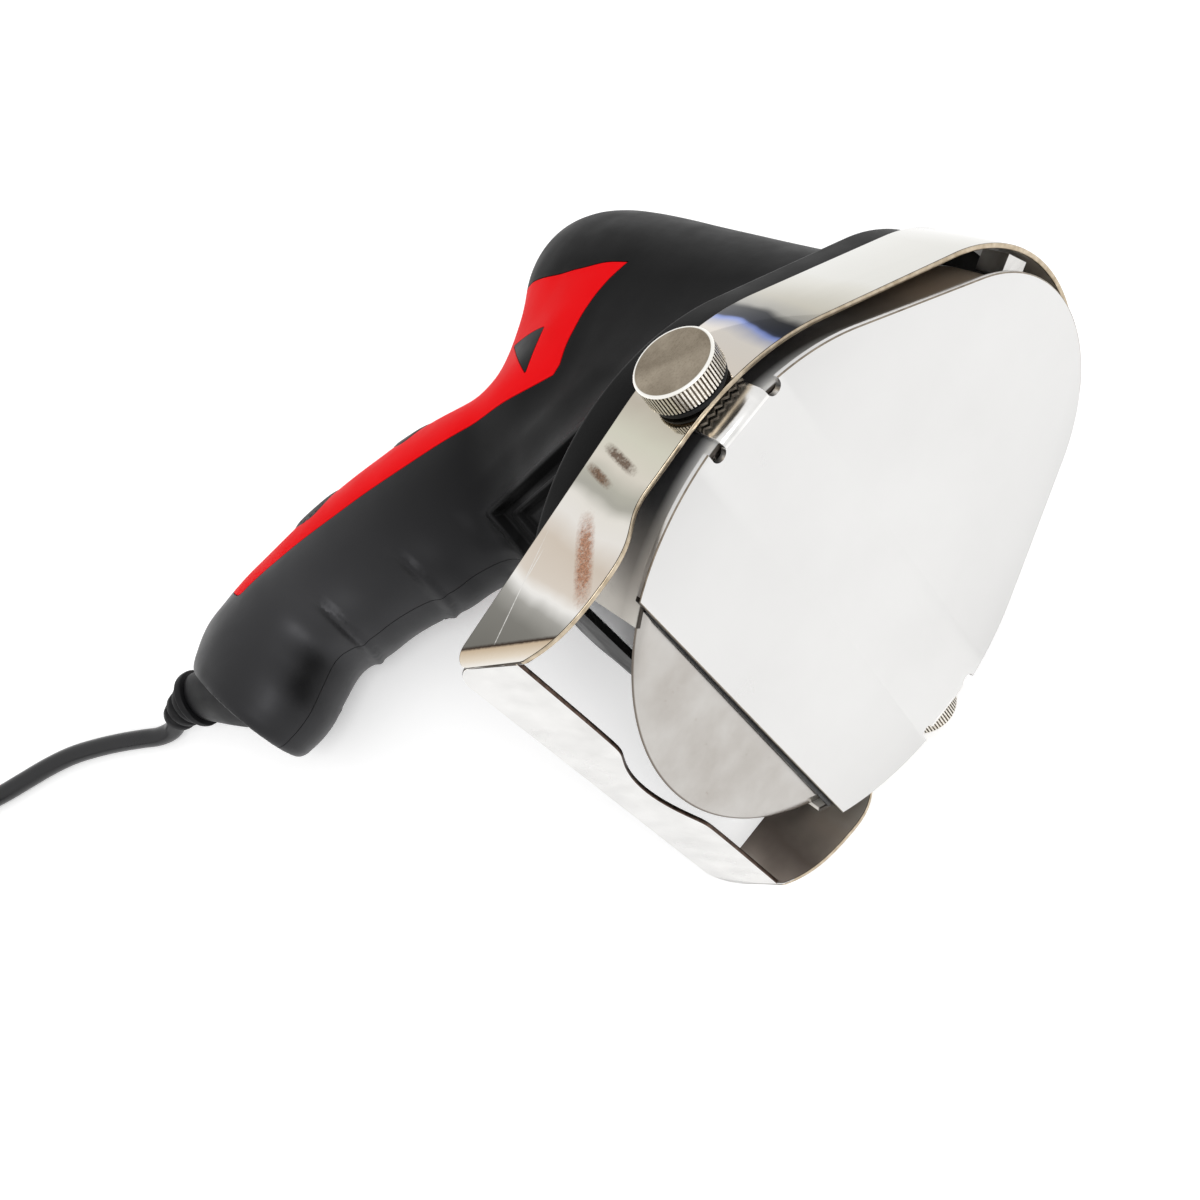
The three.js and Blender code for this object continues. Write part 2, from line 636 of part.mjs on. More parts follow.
function shells() {
  const bulkheads = [[44, 46.5], [80, 82.5]].map(([y0, y1]) => block(-40, 40, y0, y1, 14, 70)
    .intersect(bodyForm(0.6, BODY_FRONT, 12)).subtract(rodY(19.3, y0 - 1, y1 + 1, 0, MOTOR_HEIGHT, 16)));
  let whole = outerBody.subtract(innerBody);
  for (const bulkhead of bulkheads) whole = whole.add(bulkhead);
  const heart = bodyForm(0.6, BODY_FRONT, 12);
  for (const [y, z] of SHELL_SCREWS) whole = whole.add(rodX(4.3, -50, 50, y, z, 8).intersect(heart));
  for (const [y, z, head] of SHELL_SCREWS) {
    whole = whole.subtract(rodX(1.8, -head + 2, 60, y, z, 6));
    whole = whole.subtract(rodX(3.4, head, 60, y, z, 12));
  }
  for (const [x, z] of CASE_SCREWS) whole = whole.subtract(rodY(1.9, 20, 34, x, z, 8));
  whole = whole.subtract(rodY(10.9, 20, 40, 0, 0)).subtract(rodY(9, 20, 40, 0, MOTOR_HEIGHT));
  const redPocket = skin.intersect(redPrism(GAP)).subtract(trianglePrism(0));
  whole = whole.subtract(redPocket).subtract(ventRecess).subtract(switchSlot);
  whole = whole.subtract(glandNeck(GAP));
  const half = GAP / 2;
  const left = whole.intersect(block(-90, -half, -50, 250, -150, 150));
  const right = whole.intersect(block(half, 90, -50, 250, -150, 150));
  return [left, right];
}

// Neck of the cord gland through the butt's floor
function glandNeck(slack) {
  const geometry = new THREE.CylinderGeometry(6 + slack, 6 + slack, 12, 20);
  geometry.rotateX(Math.PI / 2);
  geometry.translate(0, GLAND_Y, BUTT_END + 2);
  return solid(geometry);
}

// Rings of a round section swept along a curve, with a radius for each ring
function sweep(curve, radii, sides) {
  const steps = radii.length - 1;
  const frames = curve.computeFrenetFrames(steps, false);
  return loft(radii.map((radius, i) => {
    const centre = curve.getPointAt(i / steps);
    const points = [];
    for (let j = 0; j < sides; j += 1) {
      const angle = -2 * Math.PI * j / sides;
      points.push(centre.clone()
        .addScaledVector(frames.normals[i], radius * Math.cos(angle))
        .addScaledVector(frames.binormals[i], radius * Math.sin(angle)));
    }
    return points;
  }));
}

// Wedge below the butt that turns the cord to the rear, with its neck and inner flange
function cordGland() {
  const top = BUTT_END - GAP;
  const end = COLLAR.clone().addScaledVector(COLLAR_AXIS, -GAP);
  const sideways = new THREE.Vector3(1, 0, 0);
  const across = new THREE.Vector3().crossVectors(COLLAR_AXIS, sideways).normalize();
  const flat = new THREE.Vector3().crossVectors(across, COLLAR_AXIS).normalize();
  const sides = 18;
  const upper = [];
  const lower = [];
  for (let j = 0; j < sides; j += 1) {
    const angle = 2 * Math.PI * j / sides;
    upper.push(new THREE.Vector3(10 * Math.cos(angle), 128 + 11.5 * Math.sin(angle), top));
    lower.push(end.clone()
      .addScaledVector(flat, 6.6 * Math.cos(angle))
      .addScaledVector(across, -6.6 * Math.sin(angle)));
  }
  const flange = new THREE.CylinderGeometry(8, 8, 2, 20);
  flange.rotateX(Math.PI / 2);
  flange.translate(0, GLAND_Y, BUTT_END + SHELL_WALL + 2.4);
  return loft([upper, lower]).add(glandNeck(0)).add(solid(flange));
}

// Ribbed boot of the cord: collar, then rings that taper down to the cord
function cordBoot() {
  const bend = COLLAR.clone().addScaledVector(COLLAR_AXIS, BOOT_LENGTH * 0.45);
  const end = bend.clone().addScaledVector(BOOT_TURN, BOOT_LENGTH * 0.55);
  const curve = new THREE.QuadraticBezierCurve3(COLLAR, bend, end);
  const steps = 22;
  const radii = [];
  for (let i = 0; i <= steps; i += 1) {
    const along = i / steps;
    const taper = 6.6 - 3 * along;
    const grooved = i > 3 && i % 4 >= 2 && i < steps - 1;
    radii.push(i <= 3 ? COLLAR_RADIUS : grooved ? taper - 0.9 : taper);
  }
  return { boot: sweep(curve, radii, 10), end };
}

// Head
node(tool, 'face_plate', facePlate(), steel(0.08));
node(tool, 'guard_ring', guardRing(), steel(0.12));
const backPlate = alongY(egg(CUP_EGG, BACK_CHORD), BACK_PLATE[0], BACK_PLATE[1], 7)
  .subtract(rodY(8, 10, 20));
const screwHoles = CASE_SCREWS.map(([x, z]) => rodY(1.9, 10, 40, x, z, 8));
node(tool, 'back_plate', screwHoles.reduce((body, hole) => body.subtract(hole), backPlate), steel(0.2));
const caseHollow = alongY(egg([32.2, 11.5]), CASE_FRONT - 1, CASE_FLOOR, 6);
let gearCase = alongY(egg(CASE_EGG, CASE_CHORD), CASE_FRONT, CASE_REAR, 7)
  .subtract(caseHollow)
  .add(rodY(10.5, CASE_FLOOR + 1, 33.5));
gearCase = gearCase.subtract(rodY(8.3, 20, 31.5)).subtract(rodY(3.4, 20, 40, 0, MOTOR_HEIGHT, 20));
node(tool, 'gear_case', screwHoles.reduce((body, hole) => body.subtract(hole), gearCase), black(0.55));
node(tool, 'guide_band', guideBand(), steel(0.1));
for (const [side, word] of [[-1, 'left'], [1, 'right']]) {
  node(tool, `thumb_knob_${word}`, knob(side), nickel());
  node(tool, `knob_washer_${word}`, knobWasher(side), black(0.6));
  node(tool, `clamp_plate_${word}`, clampPlate(side), darkSteel());
  node(tool, `ring_nut_${word}`, ringNut(side), brass());
  node(tool, `crown_lug_${word}`, crownLug(side), steel(0.25));
}

// Blade and spindle
const bladeProfile = [
  [BLADE_HOLE, -BLADE_HALF], [BLADE_RADIUS - 2.5, -BLADE_HALF], [BLADE_RADIUS, BLADE_HALF - 0.15],
  [BLADE_RADIUS, BLADE_HALF], [BLADE_HOLE, BLADE_HALF], [BLADE_HOLE, -BLADE_HALF],
];
node(tool, 'blade', turned(bladeProfile, 0, 40), steel(0.25));
node(tool, 'blade_screw', turned([
  [0, -1.6], [6.4, -1.6], [7, -1.2], [7, -0.8], [2.5, -0.8], [2.5, 10], [0, 10],
]), darkSteel());
node(tool, 'spindle', turned([
  [2.8, -0.4], [5, -0.4], [5, 0.8], [12, 0.8], [12, 3.8], [5, 3.8], [5, 30.8], [0, 30.8], [0, 11], [2.8, 11],
  [2.8, -0.4],
]), darkSteel());
node(tool, 'bearing_boss', turned([
  [9, 5], [15, 5], [15, 11], [20, 11], [20, 13], [11.3, 13], [11.3, 6.2], [9, 6.2], [9, 5],
]), darkSteel());
node(tool, 'spindle_front_bearing', ring(5.3, 11, 6.5, 12.9), darkSteel());
node(tool, 'spindle_rear_bearing', ring(5.3, 8, 26, 31), darkSteel());
node(tool, 'driven_gear', gear(GEAR_TEETH, Math.PI / 2, 16.5, 22.5, 5.3, 0), nylon());

// Motor
const pinionTurn = -Math.PI / 2 + Math.PI / PINION_TEETH;
node(tool, 'motor_pinion', gear(PINION_TEETH, pinionTurn, 16, 23, 2.8, MOTOR_HEIGHT), brass());
node(tool, 'motor_shaft', rodY(2.5, 15.6, 110.5, 0, MOTOR_HEIGHT, 20), darkSteel());
node(tool, 'motor_can', turned([
  [6, 33.8], [19, 33.8], [19, 92], [17.5, 92], [17.5, 36], [6, 36], [6, 33.8],
], MOTOR_HEIGHT), darkSteel());
node(tool, 'motor_front_bush', ring(2.8, 5.7, 33.9, 38.5, MOTOR_HEIGHT), brass());
node(tool, 'field_magnet', ring(15.6, 17.2, 44, 78, MOTOR_HEIGHT, 16), black(0.7));
node(tool, 'armature', turned([
  [2.8, 46], [14.8, 46], [14.8, 76], [8, 76], [8, 91], [2.8, 91], [2.8, 46],
], MOTOR_HEIGHT), copper());
for (const [side, word] of [[-1, 'left'], [1, 'right']]) {
  const x = side * 12.7;
  const brush = block(x - 4, x + 4, 83.5, 89.5, MOTOR_HEIGHT - 2.5, MOTOR_HEIGHT + 2.5);
  node(tool, `carbon_brush_${word}`, brush, black(0.8));
}
node(tool, 'motor_end_cap', turned([
  [7.3, 92.3], [19, 92.3], [19, 96], [11, 96], [11, 99.5], [7.3, 99.5], [7.3, 92.3],
], MOTOR_HEIGHT), black(0.6));
node(tool, 'motor_rear_bearing', ring(2.8, 7, 93, 99, MOTOR_HEIGHT), darkSteel());
let fan = turned([
  [2.8, 101], [19.5, 101], [19.5, 102.4], [6, 102.4], [6, 109], [2.8, 109], [2.8, 101],
], MOTOR_HEIGHT);
for (let i = 0; i < 9; i += 1) {
  const vane = new THREE.BoxGeometry(13.4, 6.4, 1.2);
  vane.translate(12.4, 105.4, 0);
  vane.rotateY(i * 2 * Math.PI / 9);
  vane.translate(0, 0, MOTOR_HEIGHT);
  fan = fan.add(solid(vane));
}
node(tool, 'cooling_fan', fan, black(0.6));

// Body
const [leftShell, rightShell] = shells();
node(tool, 'left_shell', leftShell, black(0.6));
node(tool, 'right_shell', rightShell, black(0.6));
const surroundForm = (by) => spinePrism(
  surroundFrame, SURROUND_HALF[0] + by, SURROUND_HALF[1] + by, SADDLE_DEPTH, 6);
const redPanel = inlaySkin.intersect(redPrism(0))
  .subtract(trianglePrism(GAP)).subtract(surroundForm(GAP)).subtract(padRecess);
node(tool, 'red_spine_panel', redPanel, red());
const proudBody = bodyForm(-0.4, BODY_FRONT - 1);
const padSkin = proudBody.subtract(bodyForm(0.5, BODY_FRONT - 2));
const gripPad = padSkin.intersect(spinePrism(padFrame, PAD_HALF[0], PAD_HALF[1], SADDLE_DEPTH, 6));
node(tool, 'spine_grip_pad', gripPad, black(0.7));
const surround = proudBody.subtract(inlayBody).intersect(surroundForm(0)).subtract(switchSlot);
node(tool, 'switch_surround', surround, black(0.7));
const capSkin = bodyForm(-2.2, BODY_FRONT - 1).subtract(bodyForm(-0.8, BODY_FRONT - 2));
const switchCap = capSkin.intersect(spinePrism(switchFrame, SWITCH_HALF[0], SWITCH_HALF[1], 8, 8));
node(tool, 'power_switch', switchCap.add(spineBox(switchFrame, 1.8, -2, 2, 8, 1.4)), black(0.7));
node(tool, 'switch_block', block(-6.5, 6.5, 103, 121, -32, -12), nylon());
for (const [i, [y, z, head]] of SHELL_SCREWS.entries()) {
  const shank = rodX(1.4, -head + 4, head + 1, y, z, 8);
  node(tool, `shell_screw_${i + 1}`, shank.add(rodX(3, head + GAP, head + 2.2, y, z, 12)), darkSteel());
}
for (const [i, [x, z]] of CASE_SCREWS.entries()) {
  const shank = rodY(1.5, 12, 31, x, z, 8);
  node(tool, `case_screw_${i + 1}`, shank.add(rodY(3, 11.2, 13, x, z, 12)), darkSteel());
}

// Leads inside the handle
function lead(points, radius) {
  const curve = new THREE.CatmullRomCurve3(points.map(([x, y, z]) => new THREE.Vector3(x, y, z)));
  return sweep(curve, new Array(11).fill(radius), 6);
}
const switchLead = [[3.5, 128, -85.5], [4, 125, -76], [3.5, 117, -55], [3.5, 112, -32.4]];
node(tool, 'switch_lead', lead(switchLead, 1.3), red());
const returnLead = [[-3.5, 128, -85.5], [-4, 124, -74], [-9, 106, -42], [-8, 98, -12], [-5, 94.5, 16]];
node(tool, 'return_lead', lead(returnLead, 1.3), black(0.5));
node(tool, 'motor_lead', lead([[4, 112, -10.9], [5, 108, -4], [6, 99, 6], [6, 94.5, 16]], 1.3), red());
node(tool, 'cord_clamp', block(-8, 8, 123, 139, -91.3, -86.8), nylon());

// Cord gland and boot
node(tool, 'cord_gland', cordGland(), black(0.6));
const { boot, end: bootEnd } = cordBoot();
node(tool, 'cord_boot', boot, black(0.5));

// Laid down, centred, on the table
const [noseRaise, lieOver] = [NOSE_RAISE_DEG, LIE_OVER_DEG].map(THREE.MathUtils.degToRad);
tool.rotation.set(-noseRaise, lieOver, 0, 'XYZ');
tool.updateMatrixWorld(true);
const lying = new THREE.Box3().setFromObject(tool, true);
tool.position.set(-(lying.min.x + lying.max.x) / 2, -(lying.min.y + lying.max.y) / 2, -lying.min.z);
tool.updateMatrixWorld(true);

// Free cord from the boot to the coil
const heading = THREE.MathUtils.degToRad(COIL_HEADING_DEG);
const arrive = new THREE.Vector3(Math.cos(heading), Math.sin(heading), 0);
const leaveBoot = tool.localToWorld(bootEnd.clone());
const bootHeading = BOOT_TURN.clone().transformDirection(tool.matrixWorld);
const cordCurve = new THREE.CatmullRomCurve3([
  leaveBoot.clone().addScaledVector(bootHeading, GAP),
  leaveBoot.clone().addScaledVector(bootHeading, CORD_DIAMETER * 0.9),
  ...CORD_ROUTE.map(([x, y, z]) => new THREE.Vector3(x, y, z)),
  COIL_JOIN.clone().addScaledVector(arrive, -CORD_DIAMETER),
  COIL_JOIN.clone().addScaledVector(arrive, -GAP),
]);
node(cordParts, 'cord', sweep(cordCurve, new Array(21).fill(CORD_RADIUS), 6), black(0.5));

// Coil: the lower layer winds in, climbs where it turns back, and the upper layer winds out
const coilAngle0 = heading - Math.PI / 2;
const coilCentre = COIL_JOIN.clone()
  .addScaledVector(new THREE.Vector3(Math.cos(coilAngle0), Math.sin(coilAngle0), 0), -COIL_OUTER);
function coilPoint(turn) {
  const inmost = COIL_TURNS / 2;
  const radius = COIL_OUTER - COIL_PITCH * (inmost - Math.abs(turn - inmost));
  const angle = coilAngle0 + 2 * Math.PI * turn;
  const climb = THREE.MathUtils.clamp((turn - inmost) * 2 + 0.5, 0, 1);
  const height = coilCentre.z + COIL_PITCH * climb;
  const [x, y] = [coilCentre.x + radius * Math.cos(angle), coilCentre.y + radius * Math.sin(angle)];
  return new THREE.Vector3(x, y, height);
}
const coilPoints = [];
const coilSteps = Math.round(COIL_TURNS * 18);
for (let i = 0; i <= coilSteps; i += 1) coilPoints.push(coilPoint(COIL_TURNS * i / coilSteps));
const coilEnd = coilPoints.at(-1);
const tailHeading = heading + 2 * Math.PI * COIL_TURNS;
const tail = new THREE.Vector3(Math.cos(tailHeading), Math.sin(tailHeading), 0);
coilPoints.unshift(COIL_JOIN.clone().addScaledVector(arrive, -GAP / 2));
tail.z = (PLUG_HALF_HEIGHT + GAP - coilEnd.z) / COIL_TAIL;
for (const part of [0.2, 0.6, 1]) coilPoints.push(coilEnd.clone().addScaledVector(tail, COIL_TAIL * part));

// A round tube through the given points, square to the line at each of them
function tubeThrough(points, radius, sides) {
  const upright = new THREE.Vector3(0, 0, 1);
  return loft(points.map((point, i) => {
    const [before, after] = [points[Math.max(i - 1, 0)], points[Math.min(i + 1, points.length - 1)]];
    const ahead = after.clone().sub(before).normalize();
    const side = new THREE.Vector3().crossVectors(upright, ahead).normalize();
    const above = new THREE.Vector3().crossVectors(ahead, side);
    const circle = [];
    for (let j = 0; j < sides; j += 1) {
      const angle = -2 * Math.PI * (j + 0.5) / sides;
      circle.push(point.clone()
        .addScaledVector(side, radius * Math.cos(angle))
        .addScaledVector(above, radius * Math.sin(angle)));
    }
    return circle;
  }));
}
node(cordParts, 'cord_coil', tubeThrough(coilPoints, CORD_RADIUS, 6), black(0.5));

// Least clearance of the coil to itself, a turn or more along
let leastGap = Infinity;
for (let i = 0; i < coilPoints.length; i += 1) {
  for (let j = i + 16; j < coilPoints.length; j += 1) {
    leastGap = Math.min(leastGap, coilPoints[i].distanceTo(coilPoints[j]) - CORD_DIAMETER);
  }
}
console.log(`least gap in the coil ${leastGap.toFixed(2)} mm`);

// Tie round the bundle: a flat strap bent to a closed loop
function cordTie() {
  const nearest = COIL_OUTER - COIL_PITCH * 3.125 - CORD_RADIUS - 0.8;
  const farthest = COIL_OUTER - COIL_PITCH * TIE_TURN + CORD_RADIUS + 0.8;
  const low = coilCentre.z - CORD_RADIUS - GAP;
  const high = coilCentre.z + COIL_PITCH + CORD_RADIUS + GAP;
  const outline = (wall, corner) => {
    const shape = new THREE.Shape();
    const [r0, r1, z0, z1] = [nearest - wall, farthest + wall, low - wall, high + wall];
    shape.absarc(r1 - corner, z1 - corner, corner, 0, Math.PI / 2, false);
    shape.absarc(r0 + corner, z1 - corner, corner, Math.PI / 2, Math.PI, false);
    shape.absarc(r0 + corner, z0 + corner, corner, Math.PI, 1.5 * Math.PI, false);
    shape.absarc(r1 - corner, z0 + corner, corner, 1.5 * Math.PI, 2 * Math.PI, false);
    return shape;
  };
  const strap = alongY(outline(TIE_WALL, 2), -2.5, 2.5, 3).subtract(alongY(outline(0, 1), -4, 4, 3));
  const geometry = geometryOf(strap);
  geometry.rotateZ(coilAngle0 + 2 * Math.PI * TIE_TURN);
  geometry.translate(coilCentre.x, coilCentre.y, 0);
  return solid(geometry);
}
node(cordParts, 'cord_tie', cordTie(), black(0.6));

// Plug beside the coil: tapered grip, broad front, two round pins
const plugStart = coilEnd.clone().addScaledVector(tail, COIL_TAIL + GAP);
function plugPiece(geometry) {
  geometry.rotateZ(tailHeading - Math.PI / 2);
  geometry.translate(plugStart.x, plugStart.y, plugStart.z);
  return solid(geometry);
}
function plugRing(along, halfWidth, halfHeight) {
  const points = [];
  for (let j = 0; j < 16; j += 1) {
    const angle = 2 * Math.PI * j / 16;
    const swell = (value) => Math.sign(value) * Math.abs(value) ** 0.7;
    const [x, z] = [halfWidth * swell(Math.cos(angle)), halfHeight * swell(Math.sin(angle))];
    points.push(new THREE.Vector3(x, along, z));
  }
  return points;
}
const plugSkin = loft([
  plugRing(0, 4.6, 4.6), plugRing(9, 5.6, 5.4), plugRing(15, 8.5, 8), plugRing(24, 11.5, 10),
  plugRing(34, 15, 11),
  plugRing(38, 17.6, PLUG_HALF_HEIGHT), plugRing(45, 17.6, PLUG_HALF_HEIGHT), plugRing(46, 16.8, 10.6),
]);
node(cordParts, 'plug_body', plugPiece(geometryOf(plugSkin)), black(0.5));
for (const [side, word] of [[-1, 'left'], [1, 'right']]) {
  const pinProfile = [[0, 46.3], [PIN_RADIUS, 46.3], [PIN_RADIUS, 63.5], [1.4, 65.3], [0, 65.3]];
  const pin = new THREE.LatheGeometry(pinProfile.map(([r, y]) => new THREE.Vector2(r, y)), 16);
  pin.translate(side * PIN_SPACING / 2, 0, 0);
  node(cordParts, `plug_pin_${word}`, plugPiece(pin), nickel());
}

const slicer = new THREE.Group();
slicer.add(tool, cordParts);

export default slicer;
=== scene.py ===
"""Electric kebab slicer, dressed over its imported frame.

Pieces are drawn in the upright tool, in millimetres about the blade's centre: x to its right, y to its rear, z up.
They are laid down on the table, in metres, when they are finished.
"""
import math

import bmesh
import bpy
import numpy as np
from mathutils import Matrix, Vector


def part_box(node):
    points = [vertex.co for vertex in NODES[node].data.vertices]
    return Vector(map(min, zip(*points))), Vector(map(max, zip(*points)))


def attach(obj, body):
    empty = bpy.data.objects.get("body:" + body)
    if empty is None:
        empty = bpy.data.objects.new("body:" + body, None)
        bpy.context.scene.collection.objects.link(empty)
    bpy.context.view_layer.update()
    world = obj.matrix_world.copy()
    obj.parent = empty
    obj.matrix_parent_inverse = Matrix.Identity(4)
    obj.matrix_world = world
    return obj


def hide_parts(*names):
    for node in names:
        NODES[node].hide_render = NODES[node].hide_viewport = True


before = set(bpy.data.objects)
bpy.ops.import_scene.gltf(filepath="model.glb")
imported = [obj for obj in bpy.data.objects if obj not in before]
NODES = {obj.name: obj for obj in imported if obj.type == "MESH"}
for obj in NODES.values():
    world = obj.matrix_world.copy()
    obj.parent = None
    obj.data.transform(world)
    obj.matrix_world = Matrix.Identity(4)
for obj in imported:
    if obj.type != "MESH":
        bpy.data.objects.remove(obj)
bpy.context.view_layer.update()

# How the tool lies, found from the drive gear, which is centred on the spindle at y 19.5
GEAR_Y = 19.5
LYING = np.array(Matrix.Rotation(math.radians(-20.44), 3, "X") @ Matrix.Rotation(math.radians(89.95), 3, "Y"))
GEAR_MIDDLE = np.array(sum(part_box("driven_gear"), Vector())) / 2
BLADE_CENTRE = GEAR_MIDDLE - LYING @ np.array([0, GEAR_Y * 0.001, 0])
LAID = Matrix.Translation(BLADE_CENTRE) @ Matrix(LYING.tolist()).to_4x4() @ Matrix.Scale(0.001, 4)


def laid(points):
    """Points of the upright tool, in millimetres, as they lie on the table, in metres."""
    return np.asarray(points, float) @ LYING.T * 0.001 + BLADE_CENTRE


# Camera: the photograph's viewpoint, written in the upright tool
VIEW_RIGHT = np.array([0.51, -0.5871, 0.6287])
VIEW_DOWN = np.array([0.505, -0.3873, -0.7714])
VIEW_AHEAD = np.array([0.6964, 0.7108, 0.0989])
VIEW_OFFSET = np.array([45.58, -1.8, 236.77])
VIEW_LENS = 37.5


def set_camera():
    u, _, v = np.linalg.svd(np.stack([VIEW_RIGHT, VIEW_DOWN, VIEW_AHEAD]))
    turn = u @ v
    eye = laid([-turn.T @ VIEW_OFFSET])[0]
    axes = turn @ LYING.T
    data = bpy.data.cameras.new("studio_camera")
    data.lens, data.sensor_width, data.sensor_fit = VIEW_LENS, 36, "HORIZONTAL"
    data.clip_start, data.clip_end = 0.01, 20
    camera = bpy.data.objects.new("studio_camera", data)
    bpy.context.scene.collection.objects.link(camera)
    camera.matrix_world = Matrix([
        [axes[0][i], -axes[1][i], -axes[2][i], eye[i]] for i in range(3)] + [[0, 0, 0, 1]])
    bpy.context.scene.camera = camera


set_camera()


# Chevron vent on each flank of the neck: its corner, and the two planes that its legs follow
VENT_CORNER = np.array([-12.5, 81.6, -26.0])
VENT_UPPER = np.array([0.7898, -0.6022, -0.1167])
VENT_LOWER = np.array([0.0815, -0.184, 0.9795])


# Finishes
class Finish:
    """A material with one glossy shader, and short words for adding nodes to it."""

    def __init__(self, name):
        self.material = bpy.data.materials.new(name)
        self.material.use_nodes = True
        self.tree = self.material.node_tree
        self.shader = self.tree.nodes["Principled BSDF"]
        self.place = self.add("ShaderNodeTexCoord").outputs["Object"]

    def fill(self, socket, value):
        """Links a socket to another node's output, or writes a constant into it."""
        if hasattr(value, "is_output"):
            self.tree.links.new(value, socket)
        else:
            socket.default_value = value

    def add(self, kind, settings=None, **inputs):
        made = self.tree.nodes.new(kind)
        for key, value in (settings or {}).items():
            setattr(made, key, value)
        for key, value in inputs.items():
            self.fill(made.inputs[key.replace("_", " ")], value)
        return made

    def set(self, **inputs):
        for key, value in inputs.items():
            self.fill(self.shader.inputs[key.replace("_", " ")], value)

    def math(self, operation, *values):
        made = self.add("ShaderNodeMath", {"operation": operation})
        for socket, value in zip(made.inputs, values):
            self.fill(socket, value)
        return made.outputs[0]

    def vector(self, operation, *values):
        made = self.add("ShaderNodeVectorMath", {"operation": operation})
        for socket, value in zip(made.inputs, values):
            self.fill(socket, value)
        return made.outputs["Value" if operation in ("DOT_PRODUCT", "LENGTH") else "Vector"]

    def noise(self, scale, detail=3.0, at=None, rough=0.5, stretch=None):
        where = at or self.place
        if stretch:
            where = self.add("ShaderNodeMapping", Vector=where, Scale=stretch).outputs[0]
        return self.add("ShaderNodeTexNoise", Vector=where, Scale=scale, Detail=detail, Roughness=rough).outputs["Fac"]

    def ramp(self, value, *stops):
        made = self.add("ShaderNodeValToRGB", Fac=value)
        while len(made.color_ramp.elements) < len(stops):
            made.color_ramp.elements.new(0.5)
        for element, (where, colour) in zip(made.color_ramp.elements, stops):
            element.position = where
            element.color = (*colour, 1) if hasattr(colour, "__len__") else (colour, colour, colour, 1)
        return made.outputs["Color"]

    def span(self, value, low, high, start=0.0, end=1.0):
        made = self.add("ShaderNodeMapRange", Value=value, From_Min=start, From_Max=end, To_Min=low, To_Max=high)
        return made.outputs[0]

    def mix(self, share, first, second):
        made = self.add("ShaderNodeMix", {"data_type": "RGBA"})
        for index, value in ((0, share), (6, first), (7, second)):
            self.fill(made.inputs[index], (*value, 1) if isinstance(value, tuple) else value)
        return made.outputs[2]

    def bump(self, height, strength, distance, normal=None):
        made = self.add("ShaderNodeBump", Height=height, Strength=strength, Distance=distance)
        if normal:
            self.tree.links.new(normal, made.inputs["Normal"])
        return made.outputs["Normal"]


def moulded(name, dark, light, rough, grain=900.0, depth=0.00004):
    """Moulded plastic or rubber: uneven tone, uneven sheen and a fine spark-eroded grain."""
    f = Finish(name)
    cloud = f.noise(38, 4)
    f.set(Base_Color=f.ramp(cloud, (0.3, dark), (0.7, light)))
    f.set(Roughness=f.span(f.noise(120, 3), rough[0], rough[1], 0.3, 0.7))
    f.set(Normal=f.bump(f.noise(grain, 2), 0.35, depth))
    return f


def worked_metal(name, dark, light, rough, stretch=(1, 1, 1), scale=260.0, depth=0.00001):
    """Metal with tool marks drawn out along one direction, and smears in its gloss."""
    f = Finish(name)
    marks = f.noise(scale, 4, stretch=stretch)
    f.set(Metallic=1.0, Base_Color=f.ramp(marks, (0.3, dark), (0.7, light)))
    f.set(Roughness=f.span(f.noise(70, 4), rough[0], rough[1], 0.3, 0.7))
    f.set(Normal=f.bump(marks, 0.25, depth))
    return f


# Painted sheen of the black shells by height, from the butt up, and painted shade across the vent's steps, in
# millimetres inside its chevron
PAINTED_SHEEN_BY_HEIGHT = ((0.0, 0.40), (0.10, 0.48), (0.19, 0.58), (0.28, 0.44), (0.42, 0.23), (0.53, 0.10), (0.63, 0.06))
PAINTED_GROOVE_SHADE = (
    (-2, 0.62), (-0.75, 0.8), (-0.1, 0.6), (0.4, 0.1), (2.1, 0.08), (2.7, 0.45), (3.3, 0.62), (3.9, 0.3), (4.5, 0.08),
    (6.3, 0.1), (6.8, 0.42), (7.3, 0.5), (8.1, 0.1), (12, 0.1),
)
PLAIN_SHINE = (0.62, 0.62, 0.62)


def black_shell_finish():
    """Black shells, with a painted sheen that is shinier down the handle, and painted shade that dulls the vent's
    grooves.
    """
    f = moulded("black_shell_plastic", (0.0028, 0.0028, 0.0028), (0.0044, 0.0044, 0.0044), (0.40, 0.50), 2200, 0.00003)
    local, _, y, z = upright(f)
    # Painted sheen: shine set by height for where the light falls on the shells
    painted_sheen = f.ramp(f.span(z, 0.0, 1.0, -0.1, 0.06), *PAINTED_SHEEN_BY_HEIGHT)
    flank = f.add("ShaderNodeSeparateXYZ", Vector=f.vector("ABSOLUTE", local)).outputs[0]
    mirrored = f.add("ShaderNodeCombineXYZ", X=f.math("MULTIPLY", flank, -1.0), Y=y, Z=z).outputs[0]
    place = f.vector("SUBTRACT", mirrored, tuple(VENT_CORNER / 1000))
    inside = f.math("MINIMUM", *[f.vector("DOT_PRODUCT", place, tuple(leg)) for leg in (VENT_UPPER, VENT_LOWER)])
    steps = [((at + 2) / 14, share) for at, share in PAINTED_GROOVE_SHADE]
    # Painted shade: the grooves dulled, with a painted highlight along the vent's rim
    groove_shade = f.ramp(f.span(inside, 0.0, 1.0, -0.002, 0.012), *steps)
    below = f.span(z, 1.0, 0.0, 0.008, 0.014)
    shine = f.math("MULTIPLY", painted_sheen, f.mix(below, PLAIN_SHINE, groove_shade))
    f.set(Specular_IOR_Level=f.math("MULTIPLY", shine, 1.6), Specular_Tint=(0.95, 0.95, 1.0, 1))
    return f.material


def flange_finish():
    f = moulded("black_flange_plastic", (0.0026, 0.0026, 0.0026), (0.0040, 0.0040, 0.0040), (0.42, 0.52), 2200, 0.00003)
    f.set(Specular_IOR_Level=0.07)
    return f.material


def red_shell_finish():
    f = moulded("red_panel_plastic", (0.80, 0.0010, 0.0035), (0.87, 0.0022, 0.0055), (0.46, 0.56), 2200, 0.00003)
    f.set(Specular_IOR_Level=0.035)
    return f.material


